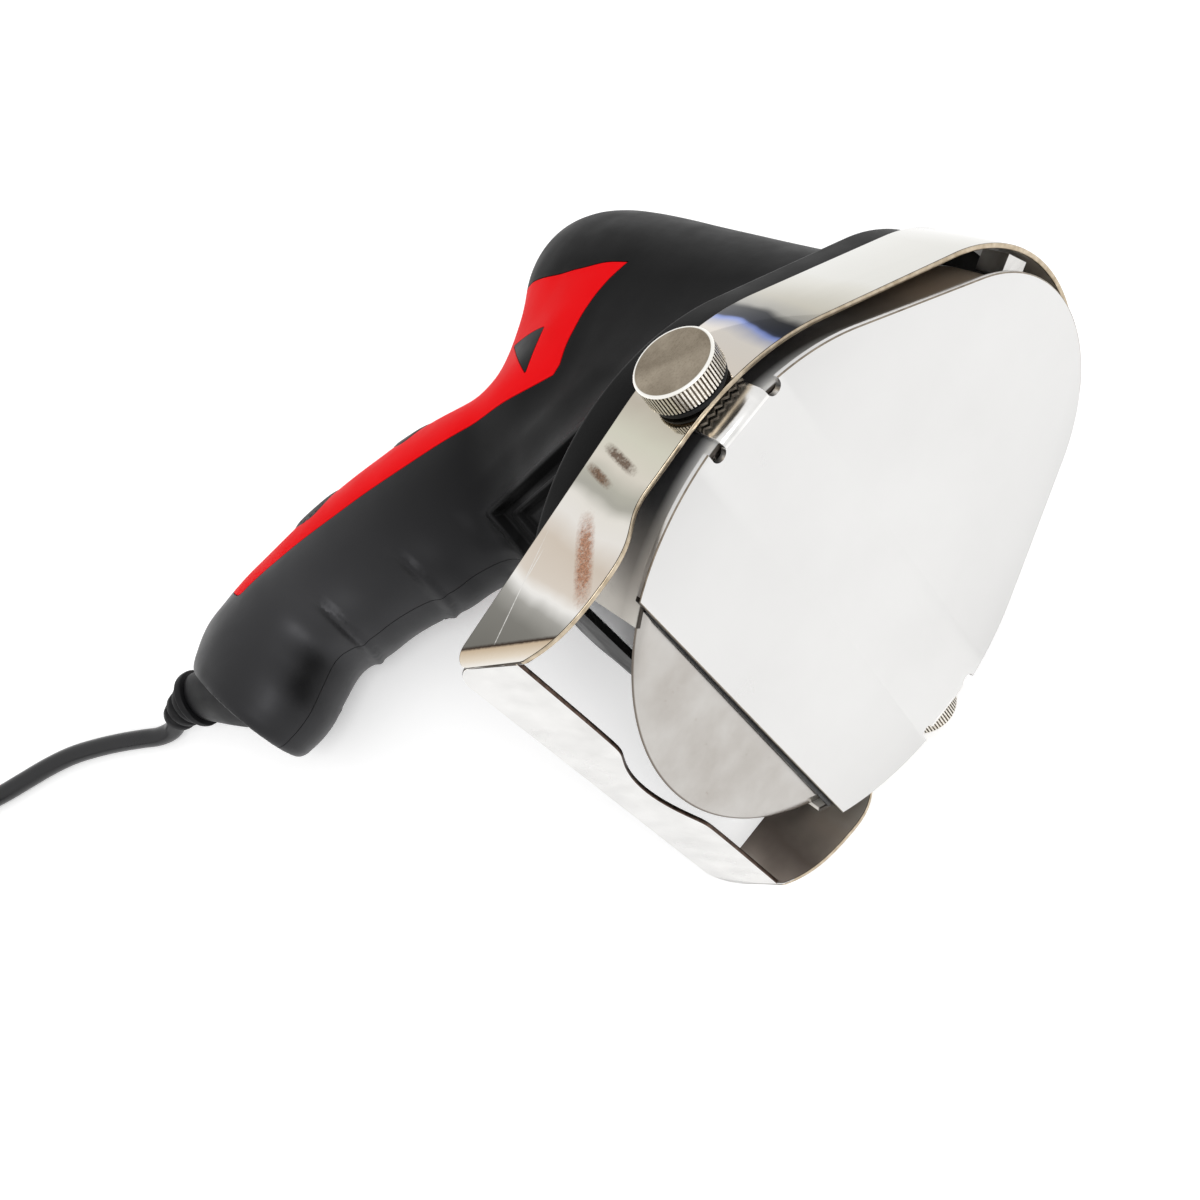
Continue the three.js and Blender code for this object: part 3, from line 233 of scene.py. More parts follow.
def rubber_finish():
    f = moulded("black_rubber", (0.004, 0.004, 0.0045), (0.008, 0.008, 0.009), (0.45, 0.62), 1500, 0.00005)
    f.set(Specular_IOR_Level=0.2)
    return f.material


def cord_finish():
    f = moulded("cord_jacket", (0.006, 0.006, 0.007), (0.010, 0.010, 0.011), (0.26, 0.36), 700, 0.00003)
    f.set(Specular_IOR_Level=0.45)
    return f.material


def face_finish():
    f = Finish("polished_face_plate")
    smear = f.noise(34, 5)
    f.set(Metallic=1.0, Base_Color=f.ramp(smear, (0.25, (0.655, 0.650, 0.642)), (0.7, (0.705, 0.701, 0.693))))
    f.set(Roughness=f.span(smear, 0.26, 0.36, 0.25, 0.75))
    f.set(Normal=f.bump(f.noise(1400, 2, stretch=(1, 0.06, 1)), 0.03, 0.00001))
    return f.material


def tone(red, green, blue):
    """A colour as a paint card gives it, 0 to 255, for a shader."""
    return tuple(((c / 255 + 0.055) / 1.055) ** 2.4 for c in (red, green, blue))


def centred(f, centre):
    """Place on the upright tool, in metres about a centre."""
    return f.add("ShaderNodeMapping", {"vector_type": "TEXTURE"}, Vector=f.place, Location=tuple(centre),
                 Rotation=tuple(Matrix(LYING.tolist()).to_euler("XYZ"))).outputs[0]


def upright(f):
    """Place on the upright tool, in metres about the blade's centre, and its x, y and z."""
    local = centred(f, BLADE_CENTRE)
    return (local, *f.add("ShaderNodeSeparateXYZ", Vector=local).outputs)


def turning_reach(f, local, across):
    """Distance from a turning axis, and that distance as a lane for turned rings."""
    reach = f.vector("LENGTH", f.vector("MULTIPLY", local, across))
    return reach, f.add("ShaderNodeCombineXYZ", X=reach).outputs[0]


def height_tones(f, value, rows):
    """Tones by height, each row a height in millimetres and a colour; value runs from the first row to the last."""
    low, high = rows[0][0], rows[-1][0]
    return f.ramp(value, *[((height - low) / (high - low), tone(*colour)) for height, colour in rows])


def stroke(f, local, start, end, width, ragged):
    """Share of a worn stroke between two places of y and z, in millimetres, with ragged sides."""
    start, end = np.array(start) / 1000, np.array(end) / 1000
    long = np.linalg.norm(end - start)
    along, across = (end - start) / long, np.array([-(end - start)[1], (end - start)[0]]) / long
    shifted = f.vector("SUBTRACT", local, (0, *((start + end) / 2)))
    reach = []
    for axis, half in ((along, long / 2), (across, width / 2000)):
        size = f.math("ABSOLUTE", f.vector("DOT_PRODUCT", shifted, (0, *axis)))
        reach.append(f.span(size, 1.0, 0.0, half * 0.5, half * 1.5))
    rough = f.math("MULTIPLY", f.math("MULTIPLY", *reach), f.span(ragged, 0.5, 1.4, 0.3, 0.7))
    return f.span(rough, 0.0, 0.9, 0.12, 0.95)


# Painted reflections on the polished band: what it would mirror, by height
BAND_PAINTED_REFLECTIONS = (
    (-60, (126, 122, 114)), (-52, (112, 110, 104)), (-45, (126, 124, 118)), (-41.5, (160, 158, 152)),
    (-39, (238, 236, 232)), (-36.5, (214, 204, 192)), (-30, (206, 194, 180)), (-25.5, (228, 224, 218)),
    (-22.5, (226, 222, 214)), (-20, (168, 166, 156)), (-17.5, (178, 176, 164)), (-14, (214, 208, 196)),
    (-9, (206, 204, 188)), (-3, (186, 178, 164)), (4, (210, 200, 188)), (15, (206, 200, 192)),
    (17.2, (164, 166, 180)), (18.4, (122, 140, 200)), (19.2, (34, 38, 50)), (22.6, (26, 28, 32)),
    (23.8, (150, 148, 142)), (27, (172, 168, 156)), (35, (196, 194, 186)), (38, (203, 202, 197)),
    (76, (206, 205, 201)),
)
# Marks on the band's left wall: from and to, as y and z, then the width and colour of a brown stroke
BROWN_STROKES = (
    ((14.8, -12.3), (6.8, -14.0), 1.7, (92, 72, 58)), ((15.8, -16.6), (9.6, -17.9), 1.5, (104, 76, 56)),
    ((8.6, -25.0), (-0.8, -35.4), 3.0, (158, 112, 86)),
)
SCRATCHES = (((14.3, -32.0), (9.0, -51.0)), ((13.2, -33.0), (12.4, -38.0)))
# Direction square to the slanted foot, and how far along it the foot's outer face lies
LIP_Y, LIP_Z = 0.5452, 0.8383
LIP_BASE = (2.7 * LIP_Y - 50.0 * LIP_Z) / 1000


def band_finish():
    """Mirror-polished sheet: painted reflections of what it mirrors, in bands along its height, brown handling strokes,
    fine scratches.
    """
    f = Finish("polished_guide_band")
    local, x, _, z = upright(f)
    cloud = f.noise(55, 3, at=local)
    level = f.span(f.math("MULTIPLY_ADD", cloud, 0.007, z), 0.0, 1.0, -0.0565, 0.0795)
    bright = height_tones(f, level, BAND_PAINTED_REFLECTIONS)
    speck = f.noise(4200, 2, at=local)
    ragged = f.noise(1500, 3, at=local, rough=0.7)
    drawn = f.noise(900, 3, at=local, stretch=(1, 0.12, 1))
    left = f.span(x, 1.0, 0.0, -0.001, 0.001)
    for start, end, width, colour in BROWN_STROKES:
        worn = f.math("MULTIPLY", stroke(f, local, start, end, width, ragged), left)
        dark, light = (tone(*[min(255, c * share) for c in colour]) for share in (0.8, 1.2))
        bright = f.mix(worn, bright, f.ramp(speck, (0.35, dark), (0.65, light)))
    for start, end in SCRATCHES:
        scratch = f.math("MULTIPLY", stroke(f, local, start, end, 0.2, ragged), left)
        bright = f.mix(scratch, bright, tone(226, 224, 220))
    lip = f.vector("DOT_PRODUCT", local, (0, LIP_Y, LIP_Z))
    height = f.math("MULTIPLY_ADD", ragged, 0.0003, lip)
    rim = f.ramp(f.span(height, 0.0, 1.0, LIP_BASE, LIP_BASE + 0.006), (0.0, tone(246, 244, 240)),
                 (0.25, tone(226, 214, 196)), (0.55, tone(198, 178, 152)), (0.62, tone(60, 48, 40)))
    under = f.span(height, 1.0, 0.0, LIP_BASE + 0.0038, LIP_BASE + 0.0043)
    f.set(Metallic=1.0, Base_Color=f.mix(under, bright, rim))
    f.set(Roughness=f.span(cloud, 0.035, 0.10, 0.3, 0.75))
    f.set(Normal=f.bump(drawn, 0.04, 0.00001))
    return f.material


# Painted shade and reflections inside the band, by height
BAND_INSIDE = (
    (-60, (214, 210, 204)), (-54, (190, 184, 176)), (-48, (136, 126, 118)), (-41, (104, 95, 88)),
    (-32, (150, 141, 132)), (-18, (206, 202, 196)), (10, (226, 222, 216)), (45, (214, 206, 194)), (80, (230, 226, 220)),
)


def inner_finish():
    """Inside of the band: satin sheet with painted shade and reflections, browner and darker towards the blade's
    height.
    """
    f = Finish("satin_band_inside")
    local, _, _, z = upright(f)
    cloud = f.noise(70, 4, at=local)
    level = f.span(f.math("MULTIPLY_ADD", cloud, 0.010, z), 0.0, 1.0, -0.055, 0.085)
    f.set(Metallic=1.0, Base_Color=height_tones(f, level, BAND_INSIDE))
    f.set(Roughness=f.span(cloud, 0.34, 0.48, 0.3, 0.75))
    f.set(Normal=f.bump(f.noise(900, 3, at=local, stretch=(1, 0.1, 1)), 0.05, 0.00001))
    return f.material


# Painted light and shade on the ring by height: lit tones at its front lip, shaded tones further in
RING_LIT_LIP = (
    (-40, (236, 232, 224)), (-31, (232, 228, 220)), (-20, (210, 206, 200)), (-6, (226, 226, 226)),
    (14, (232, 232, 230)), (34, (222, 218, 210)), (46, (204, 194, 182)), (58, (224, 220, 212)), (70, (238, 234, 228)),
)
RING_SHADED_DEEP = (
    (-40, (206, 202, 194)), (-31, (200, 195, 187)), (-25, (150, 146, 141)), (-17, (74, 74, 75)), (-8, (60, 60, 62)),
    (16, (66, 64, 64)), (34, (98, 90, 82)), (50, (156, 138, 120)), (70, (180, 168, 152)),
)


def ring_finish():
    """Drawn sheet ring with painted light and shade: bright at its front lip and at its open ends, and dark further in,
    where the band shades it.
    """
    f = Finish("drawn_ring_steel")
    local, _, y, z = upright(f)
    cloud = f.noise(80, 4, at=local)
    level = f.span(f.math("MULTIPLY_ADD", cloud, 0.008, z), 0.0, 1.0, -0.036, 0.074)
    deep = f.span(y, 0.0, 1.0, -0.0006, 0.0026)
    shaded = f.mix(deep, height_tones(f, level, RING_LIT_LIP), height_tones(f, level, RING_SHADED_DEEP))
    # Painted shadow: a dark line at the front lip, in the gap next to the plate
    f.set(Base_Color=f.mix(f.span(y, 1.0, 0.0, -0.0015, -0.0012), shaded, tone(64, 58, 52)))
    f.set(Metallic=0.55, Roughness=f.span(cloud, 0.36, 0.5, 0.3, 0.75))
    f.set(Normal=f.bump(f.noise(900, 3, at=local, stretch=(1, 0.1, 1)), 0.06, 0.00001))
    return f.material


def blade_finish():
    """Ground blade: rings about its axis, oily smears, brown spots, and painted shade in a thin dark line along its
    edge.
    """
    f = Finish("ground_blade_steel")
    local = centred(f, BLADE_CENTRE)
    reach, lane = turning_reach(f, local, (1, 0, 1))
    rings = f.noise(2600, 3, at=lane)
    smear = f.noise(60, 5, at=local, rough=0.6)
    spots = f.noise(420, 4, at=local, rough=0.7)
    worn = f.ramp(smear, (0.3, (0.40, 0.374, 0.346)), (0.72, (0.54, 0.525, 0.502)))
    worn = f.mix(f.span(spots, 0.0, 0.6, 0.66, 0.76), worn, (0.22, 0.14, 0.10))
    # Painted shade: a thin dark line on the bevel at the blade's rim
    f.set(Metallic=1.0, Base_Color=f.mix(f.span(reach, 0.0, 0.85, 0.04905, 0.04925), worn, tone(96, 86, 76)))
    f.set(Roughness=f.span(smear, 0.16, 0.30, 0.3, 0.75))
    f.set(Normal=f.bump(rings, 0.12, 0.00002))
    return f.material


KNOB_Y, KNOB_Z, KNOB_RADIUS, KNOB_IN, KNOB_OUT = 7.8, 3.0, 7.4, 56.8, 61.5


def knob_finish(side):
    """Satin nickel: turned rings on the knob's face, a painted highlight on its rim, and painted shade in the grooves
    between the ridges.
    """
    f = Finish("satin_nickel_knob_" + ("left" if side < 0 else "right"))
    local = centred(f, laid([[side * KNOB_OUT, KNOB_Y, KNOB_Z]])[0])
    reach, lane = turning_reach(f, local, (0, 1, 1))
    rings = f.noise(3200, 2, at=lane)
    smear = f.noise(110, 5, at=local, rough=0.65)
    grain = f.noise(2400, 3, at=local, rough=0.7)
    face = f.ramp(smear, (0.3, tone(118, 107, 92)), (0.7, tone(166, 155, 138)))
    face = f.mix(f.span(grain, 0.0, 0.4, 0.5, 0.7), face, tone(98, 88, 74))
    # Painted highlight: a bright ring on the rim of the face
    face = f.mix(f.span(reach, 0.0, 1.0, 0.00684, 0.00696), face, tone(246, 244, 238))
    below = f.math("ABSOLUTE", f.add("ShaderNodeSeparateXYZ", Vector=local).outputs[0])
    # Painted shade in the grooves between the knurl's ridges
    groove_shade = f.math("MULTIPLY", f.span(reach, 1.0, 0.0, 0.00702, 0.00732), f.span(below, 0.0, 1.0, 0.0003, 0.0005))
    ridge = f.ramp(grain, (0.4, tone(206, 198, 184)), (0.6, tone(244, 240, 232)))
    land = f.mix(f.span(below, 0.0, 1.0, 0.0002, 0.0004), face, ridge)
    f.set(Metallic=1.0, Base_Color=f.mix(groove_shade, land, tone(70, 58, 44)))
    f.set(Roughness=f.span(smear, 0.22, 0.36, 0.3, 0.7))
    f.set(Normal=f.bump(rings, 0.2, 0.00003))
    return f.material


BLACK_SHELL = black_shell_finish()
FLANGE_BLACK = flange_finish()
RED_SHELL = red_shell_finish()
RUBBER = rubber_finish()
CORD_JACKET = cord_finish()
FACE_STEEL = face_finish()
BAND_STEEL = band_finish()
BLADE_STEEL = blade_finish()
RING_STEEL = ring_finish()
SHEET_STEEL = worked_metal(
    "pressed_sheet_steel", (0.50, 0.49, 0.47), (0.68, 0.67, 0.65), (0.16, 0.30), (0.15, 1, 1)).material
INNER_STEEL = inner_finish()
# Back plate: nearly white and hardly metal, a painted reflection of the white studio in its polished steel
BACK_FINISH = worked_metal(
    "bright_back_plate", tone(244, 246, 249), tone(250, 251, 253), (0.3, 0.42), (1, 0.2, 1), 160)
BACK_FINISH.set(Metallic=0.1)
BACK_STEEL = BACK_FINISH.material
FOOT_STEEL = worked_metal(
    "polished_foot_steel", tone(210, 209, 207), tone(224, 223, 221), (0.16, 0.3), (0.2, 1, 1), 160).material
DARK_SCREW = worked_metal(
    "blackened_screw_steel", (0.02, 0.02, 0.021), (0.05, 0.05, 0.05), (0.35, 0.5), (1, 1, 1), 900).material
MACHINED = worked_metal(
    "machined_steel", (0.40, 0.39, 0.38), (0.56, 0.55, 0.54), (0.26, 0.40), (1, 0.2, 1), 900).material
MOTOR_STEEL = worked_metal("plated_motor_steel", (0.45, 0.46, 0.47), (0.55, 0.56, 0.56), (0.30, 0.42)).material
BRASS = worked_metal("turned_brass", (0.60, 0.42, 0.16), (0.74, 0.54, 0.24), (0.24, 0.36), (1, 1, 0.2), 800).material
COPPER = worked_metal(
    "wound_copper", (0.46, 0.19, 0.08), (0.68, 0.31, 0.14), (0.30, 0.45), (1, 0.08, 1), 1500, 0.0001).material
CUT_EDGE = worked_metal(
    "cut_sheet_edge", tone(168, 152, 128), tone(206, 192, 170), (0.25, 0.4), (1, 0.2, 1), 700).material
# Painted shade on the rounded corners of cut sheet edges, and under the plate's straight edge
PAINTED_EDGE_SHADE = worked_metal(
    "cut_edge_shade", tone(52, 48, 44), tone(84, 76, 68), (0.3, 0.45), (1, 0.2, 1), 700).material
TAB_STEEL = worked_metal(
    "bright_tab_steel", tone(218, 217, 215), tone(238, 237, 235), (0.16, 0.26), (1, 0.3, 1), 300).material
PLATE_LINE = worked_metal(
    "plate_edge_line", tone(118, 108, 96), tone(152, 142, 128), (0.3, 0.45), (1, 0.2, 1), 700).material
# Dark brown on the foot's cut front edge
FOOT_FRONT_DARK = worked_metal("foot_cut_edge", tone(58, 46, 40), tone(98, 80, 70), (0.3, 0.45), (0.2, 1, 1), 700).material
CLAMP_STEEL = worked_metal(
    "etched_clamp_steel", tone(84, 78, 70), tone(150, 142, 130), (0.35, 0.5), (1, 1, 1), 1500, 0.0001).material
NICKEL = worked_metal("plated_pin", (0.58, 0.56, 0.52), (0.68, 0.66, 0.62), (0.22, 0.34)).material
FERRITE = moulded("ferrite", (0.02, 0.02, 0.021), (0.035, 0.034, 0.034), (0.55, 0.7), 900, 0.0001).material
CARBON = moulded("carbon", (0.014, 0.014, 0.014), (0.03, 0.03, 0.03), (0.5, 0.68), 1200, 0.0001).material
NYLON = moulded("white_nylon", (0.70, 0.67, 0.60), (0.80, 0.78, 0.72), (0.42, 0.55), 600).material
RED_LEAD = moulded("red_lead_jacket", (0.52, 0.015, 0.015), (0.62, 0.02, 0.02), (0.36, 0.46), 500).material
BLACK_LEAD = moulded("black_lead_jacket", (0.012, 0.012, 0.012), (0.02, 0.02, 0.02), (0.36, 0.46), 500).material

NODE_FINISH = {
    "face_plate": FACE_STEEL, "guide_band": BAND_STEEL, "guard_ring": RING_STEEL, "back_plate": BACK_STEEL,
    "blade": BLADE_STEEL, "blade_screw": MACHINED, "spindle": MACHINED, "bearing_boss": MACHINED,
    "spindle_front_bearing": BRASS, "spindle_rear_bearing": BRASS, "driven_gear": NYLON, "motor_pinion": MACHINED,
    "motor_shaft": MACHINED, "motor_can": MOTOR_STEEL, "motor_front_bush": BRASS, "field_magnet": FERRITE,
    "armature": COPPER, "carbon_brush_left": CARBON, "carbon_brush_right": CARBON, "motor_end_cap": BLACK_SHELL,
    "motor_rear_bearing": BRASS, "cooling_fan": NYLON, "switch_block": BLACK_SHELL, "switch_lead": RED_LEAD,
    "return_lead": BLACK_LEAD, "motor_lead": BLACK_LEAD, "cord_clamp": BLACK_SHELL, "plug_pin_left": NICKEL,
    "plug_pin_right": NICKEL, "clamp_plate_left": CLAMP_STEEL, "clamp_plate_right": CLAMP_STEEL,
    "ring_nut_left": MACHINED, "ring_nut_right": MACHINED, "crown_lug_left": SHEET_STEEL,
    "crown_lug_right": SHEET_STEEL, "red_spine_panel": RED_SHELL, "cord": CORD_JACKET, "cord_coil": CORD_JACKET,
    "cord_boot": RUBBER, "cord_gland": RUBBER, "cord_tie": RUBBER, "plug_body": RUBBER,
    "thumb_knob_left": NICKEL, "thumb_knob_right": NICKEL, "knob_washer_left": RUBBER, "knob_washer_right": RUBBER,
    "spine_grip_pad": RUBBER,
}
for node_name, node in NODES.items():
    finish = NODE_FINISH.get(node_name, BLACK_SHELL)
    if node_name.startswith(("shell_screw", "case_screw")):
        finish = DARK_SCREW
    node.data.materials.clear()
    node.data.materials.append(finish)


# Mesh making
def raw(name, verts, faces):
    """A loose mesh object in the upright tool, for cutting or for finishing."""
    data = bpy.data.meshes.new(name)
    data.from_pydata([tuple(map(float, v)) for v in verts], [], [tuple(map(int, f)) for f in faces])
    data.update()
    made = bpy.data.objects.new(name, data)
    bpy.context.scene.collection.objects.link(made)
    return made


def outward(obj):
    """Merges doubles and turns every face outwards."""
    work = bmesh.new()
    work.from_mesh(obj.data)
    bmesh.ops.remove_doubles(work, verts=work.verts, dist=1e-4)
    bmesh.ops.recalc_face_normals(work, faces=work.faces)
    work.to_mesh(obj.data)
    work.free()
    return obj


def carved(keep, tool, how="DIFFERENCE"):
    """keep, cut or joined with tool; the tool is left as it is."""
    step = keep.modifiers.new(how, "BOOLEAN")
    step.operation, step.object, step.solver = how, tool, "MANIFOLD"
    bpy.context.view_layer.update()
    done = bpy.data.meshes.new_from_object(keep.evaluated_get(bpy.context.evaluated_depsgraph_get()))
    keep.modifiers.clear()
    old = keep.data
    keep.data = done
    bpy.data.meshes.remove(old)
    return keep


def copied(obj, name):
    made = obj.copy()
    made.data = obj.data.copy()
    made.name = name
    bpy.context.scene.collection.objects.link(made)
    return made


def scrap(*tools):
    for tool in tools:
        data = tool.data
        bpy.data.objects.remove(tool)
        bpy.data.meshes.remove(data)


def joined(name, *parts):
    """Several loose meshes as one."""
    work = bmesh.new()
    for part in parts:
        work.from_mesh(part.data)
    scrap(*parts)
    data = bpy.data.meshes.new(name)
    work.to_mesh(data)
    work.free()
    made = bpy.data.objects.new(name, data)
    bpy.context.scene.collection.objects.link(made)
    return made


def softened(obj, reach, angle=40.0, segments=2):
    """Rounds the sharp edges of a flat-sided piece."""
    work = bmesh.new()
    work.from_mesh(obj.data)
    bmesh.ops.dissolve_limit(work, angle_limit=math.radians(0.4), verts=work.verts, edges=work.edges)
    edges = [e for e in work.edges if len(e.link_faces) == 2 and e.calc_face_angle(0) > math.radians(angle)]
    bmesh.ops.bevel(work, geom=edges, offset=reach, segments=segments, profile=0.5, affect="EDGES", clamp_overlap=True)
    work.to_mesh(obj.data)
    work.free()
    return obj


def finished(obj, name, material, body, slot, *nodes, angle=35.0, flat=None, edges=()):
    """Lays a piece down, gives it its finish, and hands it to its body.

    Faces larger than flat, or square to the tool, stay flat. Each of edges is a finish and a test of a
    face's normal and middle in the upright tool.
    """
    faces = obj.data.polygons
    plain = [flat is not None and (face.area > flat or max(map(abs, face.normal)) > 0.9995) for face in faces]
    picked = [next((i + 1 for i, (_, test) in enumerate(edges) if test(face.normal, face.center)), 0) for face in faces]
    obj.data.transform(LAID)
    obj.name = obj.data.name = name
    obj.data.materials.clear()
    obj.data.materials.append(material)
    for edge_finish, _ in edges:
        obj.data.materials.append(edge_finish)
    for face, level, choice in zip(obj.data.polygons, plain, picked):
        face.use_smooth = not level
        face.material_index = choice
    obj.data.set_sharp_from_angle(angle=math.radians(angle))
    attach(obj, body)
    if nodes:
        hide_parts(*nodes)
    return obj


def prism(name, outline, x0, x1):
    """A side outline of y and z, drawn out along x."""
    count = len(outline)
    verts = [(x0, y, z) for y, z in outline] + [(x1, y, z) for y, z in outline]
    faces = [tuple(range(count)), tuple(range(2 * count - 1, count - 1, -1))]
    faces += [(i, (i + 1) % count, (i + 1) % count + count, i + count) for i in range(count)]
    return outward(raw(name, verts, faces))


def plank(name, outline, y0, y1):
    """A front outline of x and z, drawn out along y."""
    made = prism(name, outline, y0, y1)
    made.data.transform(Matrix(((0, 1, 0, 0), (1, 0, 0, 0), (0, 0, 1, 0), (0, 0, 0, 1))))
    return outward(made)


def lofted(name, rings):
    """Closed rings of equal count, skinned one to the next and capped."""
    rings = [np.asarray(ring, float) for ring in rings]
    count = len(rings[0])
    faces = []
    for i in range(len(rings) - 1):
        for j in range(count):
            k = (j + 1) % count
            faces.append((i * count + j, i * count + k, (i + 1) * count + k, (i + 1) * count + j))
    last = (len(rings) - 1) * count
    faces += [tuple(range(count))[::-1], tuple(range(last, last + count))]
    return outward(raw(name, np.concatenate(rings), faces))


def turned(name, profile, axis, centre, sides=96):
    """A profile of radius and station turned about an axis, x or y, through centre."""
    profile = np.array(profile, float)
    angles = np.linspace(0, 2 * math.pi, sides, endpoint=False)
    rings = []
    for radius, station in profile:
        radius = max(radius, 1e-3)
        first, second = centre[0] + radius * np.cos(angles), centre[1] + radius * np.sin(angles)
        along = np.full(sides, station)
        rings.append(np.stack([along, first, second] if axis == "x" else [first, along, second], 1))
    return lofted(name, rings)


def rounded(points, corner, steps=4):
    """An outline with its corners rounded; corner gives a reach for each point, or one for all."""
    points = np.asarray(points, float)
    reach = np.broadcast_to(corner, len(points))
    out = []
    for i, point in enumerate(points):
        before, after = points[i - 1] - point, points[(i + 1) % len(points)] - point
        if reach[i] <= 0:
            out.append(point)
            continue
        a = point + before * min(0.48, reach[i] / np.linalg.norm(before))
        b = point + after * min(0.48, reach[i] / np.linalg.norm(after))
        for u in np.linspace(0, 1, steps + 1):
            out.append((1 - u) ** 2 * a + 2 * u * (1 - u) * point + u * u * b)
    return np.array(out)


def through(points, per=8, closed=False):
    """A smooth line through points."""
    p = np.asarray(points, float)
    if closed:
        p = np.concatenate([p[-1:], p, p[:2]])
    else:
        p = np.concatenate([[2 * p[0] - p[1]], p, [2 * p[-1] - p[-2]]])
    out = []
    for a, b, c, d in zip(p[:-3], p[1:-2], p[2:-1], p[3:]):
        knots = np.cumsum([0] + [max(np.linalg.norm(v), 1e-9) ** 0.5 for v in (b - a, c - b, d - c)])
        for t in np.linspace(knots[1], knots[2], per, endpoint=False):
            ab = [(q * (knots[i + 1] - t) + r * (t - knots[i])) / (knots[i + 1] - knots[i])
                  for i, (q, r) in enumerate(((a, b), (b, c), (c, d)))]
            abc = [(ab[i] * (knots[i + 2] - t) + ab[i + 1] * (t - knots[i])) / (knots[i + 2] - knots[i])
                   for i in (0, 1)]
            out.append((abc[0] * (knots[2] - t) + abc[1] * (t - knots[1])) / (knots[2] - knots[1]))
    if not closed:
        out.append(p[-2])
    return np.array(out)


# Cord
CORD_DIAMETER = 5.2
COLLAR = np.array([0.0, 141.3, -106.2])
COLLAR_AXIS = np.array([0.0, 0.585, -0.811]) / np.linalg.norm([0.0, 0.585, -0.811])
BOOT_TURN = np.array([0.5, 0.5, -0.7]) / np.linalg.norm([0.5, 0.5, -0.7])
BOOT_LENGTH = 13.0
BOOT_BEND = COLLAR + COLLAR_AXIS * BOOT_LENGTH * 0.45
BOOT_END = BOOT_BEND + BOOT_TURN * BOOT_LENGTH * 0.55
CORD_ROUTE = [
    [-101.2, 82.2, 3.0], [-105, 86.2, 2.75], [-109.9, 91, 2.75], [-115.6, 96, 2.75], [-121.6, 100.5, 2.75],
    [-128.4, 104.2, 2.75], [-135.7, 107.3, 2.75], [-143.5, 110.6, 2.8], [-157, 118, 3.1],
]
COIL_JOIN = np.array([-195.5, 140, 4.1])
COIL_HEADING = math.radians(150.6)
COIL_OUTER, COIL_PITCH, COIL_TURNS, COIL_TAIL = 46.5, 5.7, 7.3317, 30.0
PLUG_HEIGHT = 11.6


def coil_points():
    start = COIL_HEADING - math.pi / 2
    centre = COIL_JOIN - COIL_OUTER * np.array([math.cos(start), math.sin(start), 0])
    turn = np.linspace(0, COIL_TURNS, int(COIL_TURNS * 40) + 1)
    radius = COIL_OUTER - COIL_PITCH * (COIL_TURNS / 2 - np.abs(turn - COIL_TURNS / 2))
    angle = start + 2 * math.pi * turn
    climb = np.clip((turn - COIL_TURNS / 2) * 2 + 0.5, 0, 1)
    return np.stack([centre[0] + radius * np.cos(angle), centre[1] + radius * np.sin(angle),
                     centre[2] + COIL_PITCH * climb], 1)


def power_cord():
    arrive = np.array([math.cos(COIL_HEADING), math.sin(COIL_HEADING), 0])
    leave = laid([BOOT_END])[0] * 1000
    heading = LYING @ BOOT_TURN
    free = through([leave + heading * 0.3, leave + heading * CORD_DIAMETER * 0.9, *CORD_ROUTE,
                    COIL_JOIN - arrive * CORD_DIAMETER, COIL_JOIN - arrive * 0.3], 6)
    coil = coil_points()
    ahead = COIL_HEADING + 2 * math.pi * COIL_TURNS
    tail = np.array([math.cos(ahead), math.sin(ahead), (PLUG_HEIGHT - coil[-1][2]) / COIL_TAIL])
    line = np.concatenate([free, coil, [coil[-1] + tail * COIL_TAIL * u for u in (0.2, 0.4, 0.6, 0.8, 1)]]) * 0.001
    data = bpy.data.curves.new("power_cord", "CURVE")
    data.dimensions = "3D"
    data.bevel_depth, data.bevel_resolution, data.use_fill_caps = CORD_DIAMETER / 2000, 5, True
    spline = data.splines.new("POLY")
    spline.points.add(len(line) - 1)
    spline.points.foreach_set("co", np.concatenate([line, np.ones((len(line), 1))], 1).ravel())
    spline.use_smooth = True
    data.materials.append(CORD_JACKET)
    cord = bpy.data.objects.new("power_cord", data)
    bpy.context.scene.collection.objects.link(cord)
    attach(cord, "housing")
    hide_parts("cord", "cord_coil")


power_cord()


# Body shells
# Barrel: station y, lower radius and its height, upper radius and its height
BARREL = [
    [28.9, 40, 0, 29.5, 37], [36, 38, 0, 28.6, 37], [45, 34.5, -1, 28, 37], [56, 30, -2.5, 27.6, 37],
    [68, 26.5, -4, 27.3, 37], [80, 23.5, -3, 27, 37], [92, 21, 2, 26.8, 37], [102, 19, 9, 26.2, 37.2],
    [111, 17.5, 16, 25, 37.6], [118, 15.5, 23, 23, 38.2], [124.5, 12.5, 29, 19.6, 39.2],
    [129, 9.5, 34, 15.4, 40.4], [132, 6, 38, 10, 41.5],
]
BARREL_FRONT, BARREL_REAR, BARREL_FLOOR = BARREL[0][0], BARREL[-1][0], -35.3
# Handle: height z, front y, rear y, half thickness
HANDLE = [
    [-99.8, 102.4, 142.4, 15.6], [-99, 101.7, 143.3, 16.1], [-95.5, 100.8, 145.9, 17.2], [-90, 101, 148.7, 18.2],
    [-82, 104, 149.1, 18.3], [-74, 106.5, 148, 18.5], [-66, 102, 147.8, 18.5], [-58, 98.5, 147, 18.6],
    [-51, 94.5, 145.8, 19], [-45, 89.5, 144.4, 19.3], [-38, 86.5, 141.8, 19.6], [-30, 81, 138.4, 20],
    [-22, 75, 134.6, 20.5], [-14, 71, 128.8, 21], [-6, 70, 120.5, 21.5], [2, 70, 113.5, 22], [12, 72, 110, 22],
    [24, 78, 108, 20],
]
HANDLE_BUTT, HANDLE_TOP = HANDLE[0][0], HANDLE[-1][0]
